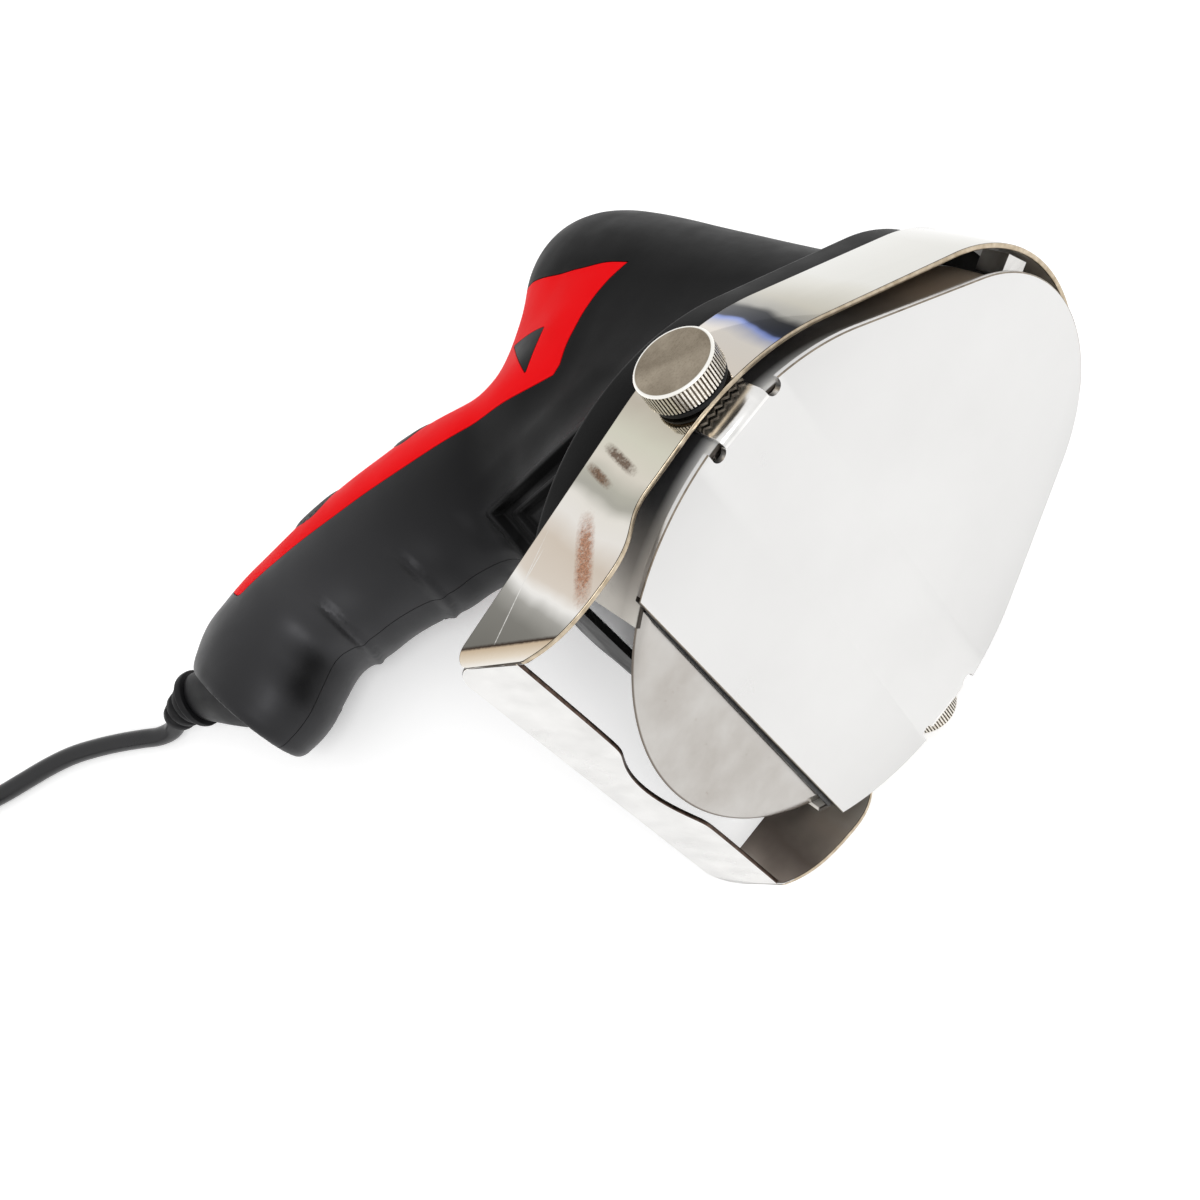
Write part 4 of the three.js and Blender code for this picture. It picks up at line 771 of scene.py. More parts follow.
# Side outline of the red panel, and the black triangle left in it, as y and z
RED_EDGE = [
    [83, 36.8], [89.3, 35.2], [96.4, 32.1], [104.8, 29.1], [120.7, 26.3], [160, 19], [160, -77], [135, -78.5],
    [130.6, -78], [128, -68.4], [124.8, -59.1], [119.9, -49.4], [114.8, -39.4], [109, -29.6], [100.4, -16.6],
    [91.6, -6.2], [84.2, 1.2], [80, 5.8], [80.4, 8.6], [83, 13.4], [84.5, 17.7], [85.7, 22.4], [85.8, 27], [85, 31.6],
]
TRIANGLE = [[108.4, 10.7], [95.6, 15.8], [89.4, 3.7]]
FINGER_RIDGES = (-68.0, -47.5)
# Ovals on the spine: middle, lean of the spine there in degrees, half length and half width
SWITCH = {"y": 133.2, "z": -19.5, "slope": 29.5, "half": (7.5, 5.5)}
SURROUND = {"y": 130.4, "z": -16.2, "slope": 33.0, "half": (10.0, 17.0)}
PAD = {"y": 145.1, "z": -48.0, "slope": 13.0, "half": (12.0, 17.0)}
# Screw sinks through the shells: y, z and how far from the middle each one starts
SHELL_SCREWS = [[112, -86, 11], [101, -48, 10], [46, -20, 22], [118, 30, 14]]


def stations(rows):
    """Section values at any station, on smooth curves through the written ones."""
    rows = np.array(rows, float)
    where, values = rows[:, 0], rows[:, 1:]
    slope = np.gradient(values, where, axis=0)

    def at(q):
        q = np.clip(q, where[0], where[-1])
        i = np.clip(np.searchsorted(where, q) - 1, 0, len(where) - 2)
        h = (where[i + 1] - where[i])[:, None]
        u = (q - where[i])[:, None] / h
        return ((1 + 2 * u) * (1 - u) ** 2 * values[i] + u * (1 - u) ** 2 * h * slope[i]
                + u * u * (3 - 2 * u) * values[i + 1] + u * u * (u - 1) * h * slope[i + 1])

    return at


barrel_at, handle_at = stations(BARREL), stations(HANDLE)


def soft_min(a, b, reach):
    h = np.maximum(reach - np.abs(a - b), 0) / reach
    return np.minimum(a, b) - h * h * reach / 4


def barrel_depth(p):
    """Distance from the barrel's skin, less than nothing inside it."""
    low, low_z, up, up_z = barrel_at(p[:, 1]).T
    rise = np.maximum(up_z - low_z, 0.5)
    lean = np.clip((low - up) / rise, -0.98, 0.98)
    level = np.sqrt(1 - lean * lean)
    x, z = np.abs(p[:, 0]), p[:, 2] - low_z
    along = -lean * x + level * z
    d = np.where(along < 0, np.hypot(x, z) - low,
                 np.where(along > level * rise, np.hypot(x, z - rise) - up, level * x + lean * z - low))
    d = -soft_min(-d, BARREL_REAR - p[:, 1], 3)
    d = -soft_min(-d, p[:, 2] - BARREL_FLOOR, 1.5)
    return np.maximum(d, BARREL_FRONT - p[:, 1])


def handle_depth(p):
    front, rear, half = handle_at(p[:, 2]).T
    deep = (rear - front) / 2
    u, v = np.abs(p[:, 0]) / half, (p[:, 1] - (front + rear) / 2) / deep
    power = np.where(v > 0, 1.8, 2.1)
    reach = np.maximum((u ** power + np.abs(v) ** power) ** (1 / power), 1e-3)
    slope = np.hypot((u / reach) ** (power - 1) / half, (np.abs(v) / reach) ** (power - 1) / deep)
    d = -soft_min(-(reach - 1) / np.maximum(slope, 1e-4), p[:, 2] - HANDLE_BUTT, 0.5)
    return np.maximum(d, p[:, 2] - HANDLE_TOP)


def body_depth(p):
    return soft_min(barrel_depth(p), handle_depth(p), 9.0)


def vent_inside(p):
    """How far a place on either flank lies inside the vent's chevron."""
    q = p.copy()
    q[:, 0] = -np.abs(q[:, 0])
    return soft_min((q - VENT_CORNER) @ VENT_UPPER, (q - VENT_CORNER) @ VENT_LOWER, 1.4)


def eased(value):
    u = np.clip(value, 0, 1)
    return u * u * (3 - 2 * u)


def vent_sink(p):
    """How far the stepped chevrons on the neck's flanks lie below the skin."""
    inside = vent_inside(p)
    sink = 2.0 * eased(inside / 0.9) - 0.3 * eased(1 - np.abs(inside + 0.5) / 0.9)
    for ridge, high in ((3.2, 1.3), (7.0, 1.1)):
        sink = sink - high * eased(1.35 - np.abs(inside - ridge) / 0.75)
    dish = 0.8 * eased(1 - np.abs(inside + 3.2) / 4.5)
    along = eased((p[:, 1] - 33) / 6) * eased((96 - p[:, 1]) / 8)
    upward = eased((p[:, 2] + 46) / 8) * eased((14 - p[:, 2]) / 6)
    return (sink + dish) * (along * upward) * eased((np.abs(p[:, 0]) - 3) / 4)


def finger_sink(p):
    """Shallow finger grooves on the front of the handle, with a narrow ridge between them."""
    front = handle_at(p[:, 2])[:, 0]
    reach = eased((front + 11 - p[:, 1]) / 7) * (p[:, 2] < -20) * (p[:, 2] > -92)
    sink = 0.35 * eased(1 - np.abs(p[:, 2] + 57.75) / 9) + 0.35 * eased(1 - np.abs(p[:, 2] + 78) / 9)
    for height in FINGER_RIDGES:
        sink = sink - 0.9 * eased(1 - np.abs(p[:, 2] - height + 0.1 * p[:, 0]) / 1.9)
    return sink * reach


def skin_depth(p):
    return body_depth(p) + finger_sink(p)


def settled(points, depth, most, rounds):
    """Points drawn onto the skin where depth is nothing."""
    for _ in range(rounds):
        value = depth(points)
        slope = np.stack([(depth(points + e) - depth(points - e)) / 0.1 for e in np.eye(3) * 0.05], 1)
        move = value[:, None] * slope / np.maximum((slope * slope).sum(1), 0.05)[:, None]
        points = points - np.clip(move, -most, most)
    return points


def skin_mesh(name, depth, low, high, step, settle=5):
    """Closed skin where depth is nothing, with its points drawn onto it."""
    axes = [np.arange(a, b + step, step) for a, b in zip(low, high)]
    shape = tuple(len(a) for a in axes)
    grid = np.stack(np.meshgrid(*axes, indexing="ij"), -1).reshape(-1, 3)
    inside = np.concatenate([depth(part) for part in np.array_split(grid, 12)]).reshape(shape) < 0
    cells = tuple(n - 1 for n in shape)
    corners = sum(inside[i:i + cells[0], j:j + cells[1], k:k + cells[2]].astype(np.int8)
                  for i in (0, 1) for j in (0, 1) for k in (0, 1))
    mixed = (corners > 0) & (corners < 8)
    index = np.full(cells, -1)
    index[mixed] = np.arange(mixed.sum())
    points = np.array(low) + (np.argwhere(mixed) + 0.5) * step
    faces = []
    for axis in range(3):
        here = [slice(None)] * 3
        there = [slice(None)] * 3
        here[axis], there[axis] = slice(0, -1), slice(1, None)
        a, b = inside[tuple(here)], inside[tuple(there)]
        edge = np.argwhere(a != b)
        u, v = (axis + 1) % 3, (axis + 2) % 3
        edge = edge[(edge[:, u] > 0) & (edge[:, v] > 0) & (edge[:, u] < shape[u] - 1) & (edge[:, v] < shape[v] - 1)]
        around = []
        for du, dv in ((1, 1), (0, 1), (0, 0), (1, 0)):
            cell = edge.copy()
            cell[:, u] -= du
            cell[:, v] -= dv
            around.append(index[tuple(cell.T)])
        quad = np.stack(around, 1)
        flip = ~a[tuple(edge.T)]
        quad[flip] = quad[flip][:, ::-1]
        faces.append(quad)
    faces = np.concatenate(faces)
    return raw(name, settled(points, depth, step, settle), faces)


def refined(obj, depth, wanted, cuts):
    """Splits the faces of a skin where wanted, and draws their points onto it."""
    work = bmesh.new()
    work.from_mesh(obj.data)
    places = np.array([v.co for v in work.verts])
    chosen = wanted(places)
    edges = [e for e in work.edges if chosen[e.verts[0].index] and chosen[e.verts[1].index]]
    bmesh.ops.subdivide_edges(work, edges=edges, cuts=cuts, use_grid_fill=True)
    bmesh.ops.triangulate(work, faces=[f for f in work.faces if len(f.verts) > 4])
    work.to_mesh(obj.data)
    work.free()
    points = np.array([v.co for v in obj.data.vertices])
    inside = wanted(points)
    points[inside] = settled(points[inside], depth, 0.3, 8)
    obj.data.vertices.foreach_set("co", points.ravel())
    obj.data.update()
    return obj


def sunk(obj, depth, sink):
    """Presses the skin of a mesh in, square to itself, by a depth for each place."""
    points = np.array([v.co for v in obj.data.vertices])
    slope = np.stack([(depth(points + e) - depth(points - e)) / 0.4 for e in np.eye(3) * 0.2], 1)
    slope = slope / np.maximum(np.linalg.norm(slope, axis=1), 1e-6)[:, None]
    obj.data.vertices.foreach_set("co", (points - slope * sink(points)[:, None]).ravel())
    obj.data.update()
    return obj


def offset_outline(points, by):
    """A closed outline moved outwards by a distance, square to its edges."""
    p = np.asarray(points, float)
    after = np.roll(p, -1, 0) - p
    turn = np.sign(np.sum(p[:, 0] * np.roll(p[:, 1], -1) - p[:, 1] * np.roll(p[:, 0], -1)))
    normal = np.stack([after[:, 1], -after[:, 0]], 1) * turn / np.linalg.norm(after, axis=1)[:, None]
    both = normal + np.roll(normal, 1, 0)
    return p + by * both / np.maximum(1 + np.sum(normal * np.roll(normal, 1, 0), 1), 0.2)[:, None]


def red_outline():
    """Smooth side outline of the red panel, sharp at its two corners."""
    p = np.array(RED_EDGE)
    top = through(p[:5], 6)
    spine = [*p[5:7], *rounded([p[6], [135.2, -79.0], [130.2, -78.4], p[9]], [0, 3.2, 1.6, 0], 5)[1:-1]]
    front = through(p[9:18], 6)
    rise = through(p[18:], 6)
    return np.concatenate([top, spine, front, rise])


def spine_place(spec, p):
    """Width and length place on an oval pad set square to the spine."""
    slope = math.radians(spec["slope"])
    along = -(p[:, 1] - spec["y"]) * math.sin(slope) + (p[:, 2] - spec["z"]) * math.cos(slope)
    rear = (p[:, 1] - spec["y"]) * math.cos(slope) + (p[:, 2] - spec["z"]) * math.sin(slope)
    return p[:, 0], along, rear


def spine_oval(spec, p, grow=0.0):
    across, along, rear = spine_place(spec, p)
    wide, long = spec["half"][1] + grow, spec["half"][0] + grow
    edge = (np.hypot(across / wide, along / long) - 1) * min(wide, long)
    return np.maximum(edge, -rear - 18)


def near_vent(p):
    """Whether a place is on the vent's steps, where the skin needs a finer mesh."""
    level = (p[:, 1] > 29.6) & (p[:, 1] < 90) & (p[:, 2] > -36) & (p[:, 2] < 12)
    return level & (np.abs(vent_inside(p) - 3.6) < 5.6)


def spine_hole(name, spec, deep, low, high):
    """Cutter for an oval let into the skin to a depth."""
    def depth(p):
        skin = body_depth(p)
        return np.maximum(np.maximum(spine_oval(spec, p, 0.2), -deep - skin), skin - 4)
    return skin_mesh(name, depth, low, high, 0.8)


def body_shells():
    """Both shells and the red panel, cut from one skin."""
    low, high = (-43, 27.5, -102), (43, 151, 68)
    fine = 0.96
    outer = refined(skin_mesh("outer_skin", skin_depth, low, high, fine), skin_depth, near_vent, 3)
    sunk(outer, body_depth, vent_sink)
    inner = skin_mesh("inner_skin", lambda p: np.maximum(body_depth(p) + 2.4, 32 - p[:, 1]), low, high, 2.2)
    floor = skin_mesh("pocket_skin", lambda p: body_depth(p) + 1.5, low, high, 1.8)
    back = skin_mesh("inlay_skin", lambda p: body_depth(p) + 1.2, low, high, 1.8)
    edge = red_outline()
    triangle = rounded(TRIANGLE, 0.5, 3)
    red_block = prism("red_block", offset_outline(edge, -0.1), -60, 60)
    red_room = prism("red_room", offset_outline(edge, 0.14), -60, 60)
    triangle_tight = prism("triangle_tight", triangle, -60, 60)
    triangle_loose = prism("triangle_loose", offset_outline(triangle, 0.2), -60, 60)
    pad_hole = spine_hole("pad_hole", PAD, 0.8, (-20, 122, -66), (20, 156, -36))
    surround_hole = spine_hole("surround_hole", SURROUND, 2.0, (-20, 106, -34), (20, 146, -2))
    switch_slope = math.radians(SWITCH["slope"])
    slot = prism("switch_slot", [
        (SWITCH["y"] - a * math.sin(switch_slope) + o * math.cos(switch_slope),
         SWITCH["z"] + a * math.cos(switch_slope) + o * math.sin(switch_slope))
        for a, o in ((-2.6, -12), (7.6, -12), (7.6, 6), (-2.6, 6))], -2.2, 2.2)

    red = carved(copied(outer, "red_panel"), red_block, "INTERSECT")
    for tool in (back, triangle_loose, pad_hole, surround_hole):
        carved(red, tool)
    carved(red_room, floor)
    carved(red_room, triangle_tight)
    whole = carved(carved(outer, inner), red_room)
    carved(whole, slot)
    for y, z, head in SHELL_SCREWS:
        sink = turned("screw_sink", [[0, head], [3.4, head], [3.4, 60], [0, 60]], "x", (y, z), 40)
        carved(whole, sink)
        scrap(sink)
    side_view = [(0, -140), (200, -140), (200, 120), (0, 120)]
    left_half = prism("left_half", side_view, -80, -0.09)
    right_half = prism("right_half", side_view, 0.09, 80)
    left = carved(copied(whole, "left_shell_skin"), left_half, "INTERSECT")
    right = carved(copied(whole, "right_shell_skin"), right_half, "INTERSECT")
    scrap(whole, inner, floor, back, red_block, red_room, triangle_tight, triangle_loose, pad_hole, surround_hole, slot,
          left_half, right_half)
    finished(left, "left_shell_moulding", BLACK_SHELL, "housing", "black_plastic", "left_shell")
    finished(right, "right_shell_moulding", BLACK_SHELL, "housing", "black_plastic", "right_shell")
    finished(red, "red_spine_inlay", RED_SHELL, "housing", "red_plastic", "red_spine_panel")


def spine_buttons():
    """Ribbed thumb switch, the saddle round it, and the soft grip pad on the spine."""
    def ribs(along, pitch, high):
        return high * np.clip(np.cos(2 * math.pi * along / pitch) * 1.6, -1, 1)

    def switch_depth(p):
        skin = body_depth(p)
        along = spine_place(SWITCH, p)[1]
        top = 1.75 + ribs(along, 2.4, 0.35) * (np.abs(along) < 5.4)
        cap = np.maximum(np.maximum(skin - top, 0.85 - skin), spine_oval(SWITCH, p))
        across, _, rear = spine_place(SWITCH, p)
        stem = np.maximum(np.maximum(np.abs(across) - 1.8, np.abs(along) - 2), np.maximum(-rear - 8, rear - 1.2))
        return np.minimum(cap, stem)

    def saddle_depth(spec, deep):
        """A thin saddle let into the red panel, its rim eased and its middle ribbed."""
        def depth(p):
            skin = body_depth(p)
            across, along, _ = spine_place(spec, p)
            edge = spine_oval(spec, p)
            ribbed = ribs(along, 2.8, 0.12) * (np.abs(across) < 9) * (np.abs(along) < 6)
            proud = 0.5 - 0.5 * eased(1 + edge / 1.2) + ribbed
            return np.maximum(np.maximum(skin - proud, -deep - skin), edge)
        return depth

    def surround_depth(p):
        across, along, _ = spine_place(SURROUND, p)
        room = np.maximum(np.abs(across) - 2.2, np.abs(along - 2.5) - 5.1)
        flat = np.maximum(body_depth(p) - 0.35, -1.2 - body_depth(p))
        saddle = np.maximum(np.maximum(flat, spine_oval(SURROUND, p)), saddle_depth(SURROUND, 1.2)(p) - 0.15)
        return np.maximum(saddle, -room)

    step = 0.42
    cap = skin_mesh("switch_cap", switch_depth, (-7, 118, -34), (7, 145, -6), step)
    finished(cap, "thumb_switch_cap", RUBBER, "switch", "black_plastic", "power_switch")
    pad = skin_mesh("grip_pad", saddle_depth(PAD, 0.5), (-19, 122, -64), (19, 152, -38), step * 1.1)
    finished(pad, "ribbed_grip_pad", RUBBER, "housing", "black_plastic", "spine_grip_pad")
    saddle = skin_mesh("saddle", surround_depth, (-19, 108, -33), (19, 143, -4), step * 1.1)
    finished(saddle, "switch_saddle", RUBBER, "housing", "black_plastic", "switch_surround")


def ring_about(centre, first, second, wide, deep=None, count=56):
    """A ring of points about a centre, in the plane of two directions."""
    a = np.linspace(0, 2 * math.pi, count, endpoint=False)[:, None]
    return np.asarray(centre) + np.cos(a) * wide * np.asarray(first) + np.sin(a) * (deep or wide) * np.asarray(second)


def cord_exit():
    """Gland through the butt's floor, and the ribbed boot that turns the cord to the table."""
    along_x, along_y = np.array([1.0, 0, 0]), np.array([0, 1.0, 0])
    rise = np.cross(along_x, COLLAR_AXIS)
    rise = rise if rise[1] > 0 else -rise
    neck = ((-94.0, 7.6), (-94.4, 8), (-96, 8), (-96.1, 6), (-100.0, 6))
    rings = [ring_about((0, 131, z), along_x, along_y, r) for z, r in neck]
    top = ring_about((0, 128, -100.1), along_x, along_y, 10, 11.5)
    end = ring_about(COLLAR - COLLAR_AXIS * 0.3, along_x, rise, 6.6)
    for u in np.linspace(0, 1, 9):
        bulge = math.sin(math.pi * u) * 0.9 * (top - top.mean(0)) / 11
        rings.append(top * (1 - u) + end * u + bulge)
    finished(lofted("gland", rings), "cord_gland_wedge", RUBBER, "housing", "black_plastic", "cord_gland")
    profile = [(0.0, 7.5), (0.15, 7.75), (0.5, 7.8), (1.3, 7.8), (1.65, 7.7), (1.8, 7.4), (1.85, 5.5)]
    for rib, radius in enumerate((6.1, 5.3, 4.5)):
        start = 2.2 + 3.5 * rib
        profile += [(start, radius - 1.1), (start + 0.35, radius - 0.15), (start + 0.7, radius),
                    (start + 1.9, radius - 0.15), (start + 2.35, radius - 0.35), (start + 2.6, radius - 1.3)]
    profile += [(12.6, 3.2), (13.0, 3.05)]
    rings = []
    for station, radius in profile:
        u = station / BOOT_LENGTH
        centre = (1 - u) ** 2 * COLLAR + 2 * u * (1 - u) * BOOT_BEND + u * u * BOOT_END
        ahead = (1 - u) * (BOOT_BEND - COLLAR) + u * (BOOT_END - BOOT_BEND)
        ahead = ahead / np.linalg.norm(ahead)
        side = along_x - ahead * ahead[0]
        side = side / np.linalg.norm(side)
        rings.append(ring_about(centre, side, np.cross(ahead, side), radius))
    finished(lofted("boot", rings), "ribbed_cord_boot", RUBBER, "housing", "black_rubber", "cord_boot", angle=50)


body_shells()
spine_buttons()
cord_exit()


# Cutting head
MOTOR_HEIGHT = 37.0
SCREW_HOLE = 2.4


def egg(lower, upper, chord=None, count=64):
    """Outline of x and z: a large arc about the spindle, a small arc about the motor."""
    join = math.pi / 2 - math.acos((lower - upper) / MOTOR_HEIGHT)
    start = -math.pi / 2 if chord is None else math.asin(chord / lower)
    arcs = []
    for radius, height, a0, a1 in ((lower, 0, start, join), (upper, MOTOR_HEIGHT, join, math.pi - join),
                                   (lower, 0, math.pi - join, math.pi - start)):
        a = np.linspace(a0, a1, count)
        arcs.append(np.stack([radius * np.cos(a), height + radius * np.sin(a)], 1))
    line = np.concatenate(arcs)
    keep = np.concatenate([[True], np.linalg.norm(np.diff(line, axis=0), axis=1) > 1e-6])
    line = line[keep]
    return line[:-1] if chord is None else line


def screw_hole(side, start=40, end=70, sides=32):
    """Cutter for a knob screw's hole on one side."""
    profile = [[0, side * start], [SCREW_HOLE, side * start], [SCREW_HOLE, side * end], [0, side * end]]
    return turned("hole", profile, "x", (KNOB_Y, KNOB_Z), sides)


def face_plate():
    """Flat plate with a dark strip behind its straight edge, which stands in for the shadow in the gap to the blade,
    and a bent tab on each side.
    """
    plate = lofted("plate", [[(x, y, z) for x, z in egg(53 - s, 33 - s, -30 + s, 72)]
                             for y, s in ((-3.2, 0.24), (-3.13, 0.07), (-2.97, 0), (-2.2, 0), (-2.0, 0.2))])
    for side in (-1, 1):
        tools = [plank("tab_room", [(side * x, KNOB_Z + z) for x, z in (
            (50.4, -5.7), (60, -5.7), (60, 5.7), (50.4, 5.7))], -8, 2)]
        for end in (-1, 1):
            z, a = KNOB_Z + end * 7.1, np.linspace(-math.pi / 2, math.pi / 2, 15)
            arc = [(side * (50.9 - 1.5 * math.cos(t)), z + 1.5 * math.sin(t)) for t in a]
            tools.append(plank("notch", arc + [(side * 60, z + 1.5), (side * 60, z - 1.5)], -8, 2))
        for tool in tools:
            carved(plate, tool)
        scrap(*tools)
    # Painted shadow: a dark strip that shows just under the plate's straight edge
    shade_strip = plank("shade_strip", [(-39.8, -29.5), (-39.8, -30.2), (39.8, -30.95), (39.8, -29.5)], -1.95, -1.15)
    parts = [plate, softened(shade_strip, 0.1)]
    for side in (-1, 1):
        a = np.linspace(-math.pi / 2, 0, 9)
        outer = [(50.6 + 1.6 * math.cos(t), -1.6 + 1.6 * math.sin(t)) for t in a]
        outer = [(46.0, -3.19)] + outer + [(52.2, 12.9)]
        inner = [(50.6 + 0.6 * math.cos(t), -1.4 + 0.6 * math.sin(t)) for t in a[::-1]]
        inner = [(51.2, 12.9)] + inner + [(46.0, -2.01)]
        verts = [(side * x, y, KNOB_Z + 5.6 * end) for end in (-1, 1) for x, y in outer + inner]
        n = len(outer + inner)
        faces = [tuple(range(n)), tuple(range(2 * n - 1, n - 1, -1))]
        faces += [(i, (i + 1) % n, (i + 1) % n + n, i + n) for i in range(n)]
        tab = outward(raw("tab", verts, faces))
        hole = screw_hole(side)
        carved(tab, hole)
        scrap(hole)
        parts.append(softened(tab, 0.18, 50))

    def chamfer(n, c):
        return -0.95 < n.y < -0.25 and n.x < 0.2 and c.y < -2.9 and abs(c.z - KNOB_Z) > 6.5

    finished(joined("face", *parts), "polished_face_plate", FACE_STEEL, "housing", "polished_steel", "face_plate",
             angle=30, flat=30, edges=(
                 (TAB_STEEL, lambda n, c: abs(c.x) > 47.5 and abs(c.z - KNOB_Z) < 5.75),
                 # Painted shadow on the dark strip, and painted shade under the plate's straight edge
                 (DARK_SCREW, lambda n, c: c.z < -29.3 and c.y > -1.96),
                 (PAINTED_EDGE_SHADE, lambda n, c: n.z < -0.5 and c.z < -29.5),
                 (PLATE_LINE, chamfer)))


def sheet_section(start, end, wall, corner):
    """Section of a sheet with eased corners: places along it from start to end, and through its wall."""
    a = np.linspace(0, math.pi / 2, 4)
    arc = corner * np.stack([1 - np.cos(a), 1 - np.sin(a)], 1)
    outer = [(start + s, t) for s, t in arc] + [(end - s, t) for s, t in arc[::-1]]
    return outer + [(end - s, wall - t) for s, t in arc] + [(start + s, wall - t) for s, t in arc[::-1]]


def strip(name, line, normals, y_front, y_rear, wall, corner):
    """Sheet bent along a line of x and z, its outer face on the line, between two y edges."""
    rings = []
    for (x, z), (nx, nz), y0, y1 in zip(line, normals, y_front, y_rear):
        rings.append([(x - nx * t, y, z - nz * t) for y, t in sheet_section(y0, y1, wall, corner)])
    return lofted(name, rings)


def normals_of(line):
    step = np.gradient(line, axis=0)
    step /= np.linalg.norm(step, axis=1)[:, None]
    return np.stack([step[:, 1], -step[:, 0]], 1)


def guard_ring():
    line = egg(50.9, 30.9, -33, 72)
    n = len(line)
    ring = strip("ring", line, normals_of(line), np.full(n, -1.7), np.full(n, 13.0), 0.8, 0.2)
    for side in (-1, 1):
        hole = screw_hole(side)
        carved(ring, hole)
        scrap(hole)
    finished(ring, "drawn_guard_ring", RING_STEEL, "housing", "polished_steel", "guard_ring", angle=30)


def bezier(a, b, c, d, count):
    a, b, c, d = map(np.array, (a, b, c, d))
    u = np.linspace(0, 1, count)[:, None]
    return (1 - u) ** 3 * a + 3 * u * (1 - u) ** 2 * b + 3 * u * u * (1 - u) * c + u ** 3 * d


# The slanted foot, as y and z: where it starts and ends, its direction, and the way through its wall
SHEET_WALL, SHEET_CORNER = 1.0, 0.28
FOOT_START, FOOT_END = np.array([2.7, -50.0]), np.array([15.0, -58.0])
FOOT_LONG = float(np.linalg.norm(FOOT_END - FOOT_START))
FOOT_WAY = (FOOT_END - FOOT_START) / FOOT_LONG
FOOT_LIFT = np.array([-FOOT_WAY[1], FOOT_WAY[0]])


def on_foot(n, c):
    """Whether a face of the band belongs to its slanted foot."""
    off = (c.y - FOOT_START[0]) * FOOT_LIFT[0] + (c.z - FOOT_START[1]) * FOOT_LIFT[1]
    return abs(n.x) < 0.7 and abs(c.x) < 50.3 and -0.3 < off < 1.3


def foot_front(n, c):
    return on_foot(n, c) and n.y * FOOT_WAY[0] + n.z * FOOT_WAY[1] < -0.4


def band_inside(n, c):
    """Whether a face looks in towards the blade."""
    return abs(n.y) < 0.3 and n.x * c.x + n.z * max(c.z - MOTOR_HEIGHT, 0) < 0


def guide_band():
    """Arch of bent sheet with a slot on each side, and the slanted foot between its walls."""
    taper, lower, upper = math.radians(4.9), 55.0, 37.2
    join = math.pi / 2 - math.acos((lower - upper) / MOTOR_HEIGHT)
    lip_y, lip_z, lip = 12.57, -52.84, 3.0
    wall_z = np.concatenate([lip_z - lip * np.cos(np.linspace(0.02, math.pi / 2, 24)),
                             np.linspace(lip_z, -lower * math.sin(taper), 100)[1:]])
    wall_x = lower * math.cos(taper) - (-lower * math.sin(taper) - wall_z) * math.tan(taper)
    right = np.stack([wall_x, wall_z], 1)
    a, b = np.linspace(-taper, join, 60)[1:], np.linspace(join, math.pi - join, 90)[1:]
    rise = np.stack([lower * np.cos(a), lower * np.sin(a)], 1)
    crown = np.stack([upper * np.cos(b), MOTOR_HEIGHT + upper * np.sin(b)], 1)
    half = np.concatenate([right, rise])
    line = np.concatenate([half, crown[:-1], half[::-1] * (-1, 1)])
    front = np.concatenate([[(1.5, 90), (1.5, -16)], bezier((1.5, -16), (1.5, -22), (-2.6, -22), (-2.8, -30), 24)[1:],
                            bezier((-2.8, -30), (-3, -41), (-1.2, -45), (1.5, -49.2), 24)[1:], [(15, -58)]])[::-1]
    rear = np.array([(18.5, 90), (18.5, 4), (15.6, lip_z)])[::-1]
    y_front = np.interp(line[:, 1], front[:, 1], front[:, 0])
    y_rear = np.interp(line[:, 1], rear[:, 1], rear[:, 0])
    bow = np.sqrt(np.maximum(lip * lip - np.minimum(line[:, 1] - lip_z, 0) ** 2, 0))
    y_rear = np.where(line[:, 1] < lip_z, lip_y + bow, y_rear)
    y_front = np.where(line[:, 1] < lip_z - 2.5, np.maximum(y_front, lip_y - bow), y_front)
    y_rear = np.maximum(y_rear, y_front + 0.6)
    arch = strip("arch", line, normals_of(line), y_front, y_rear, SHEET_WALL, SHEET_CORNER)
    for side in (-1, 1):
        ends = [KNOB_Y - 2.8, KNOB_Y + 2.7]
        a = np.linspace(-math.pi / 2, math.pi / 2, 13)
        outline = [(ends[1] + SCREW_HOLE * math.cos(t), KNOB_Z + SCREW_HOLE * math.sin(t)) for t in a]
        outline += [(ends[0] - SCREW_HOLE * math.cos(t), KNOB_Z - SCREW_HOLE * math.sin(t)) for t in a]
        slot = prism("slot", outline, min(side * 50, side * 60), max(side * 50, side * 60))
        carved(arch, slot)
        scrap(slot)
    limit = 54.8 - 0.0857 * 45.3 - 0.45
    x = np.concatenate([np.linspace(-limit, -43, 24), np.linspace(-43, 43, 130)[1:-1], np.linspace(43, limit, 24)])
    dip = (np.sqrt(np.maximum(52.6 ** 2 - x * x, 0)) - 50) * FOOT_LONG / 8
    relief = (dip + np.sqrt(dip * dip + 1.4)) / 2 * eased((30 - np.abs(x)) / 8)
    corner = np.clip((np.abs(x) - (limit - 7)) / 7, 0, 1)
    reach = FOOT_LONG - 6.0 * (1 - np.sqrt(1 - corner * corner))
    rings = []
    for px, s0, s1 in zip(x, relief, reach):
        section = sheet_section(s0, s1, SHEET_WALL, SHEET_CORNER)
        rings.append([(px, *(FOOT_START + FOOT_WAY * s + FOOT_LIFT * t)) for s, t in section])
    foot = lofted("foot", rings)
    finished(joined("band", arch, foot), "polished_guide_band", BAND_STEEL, "guide", "polished_steel", "guide_band",
             angle=30, edges=(
                 (FOOT_FRONT_DARK, foot_front), (FOOT_STEEL, on_foot), (CUT_EDGE, lambda n, c: abs(n.y) > 0.6),
                 (PAINTED_EDGE_SHADE, lambda n, c: abs(n.y) > 0.2), (INNER_STEEL, band_inside)))


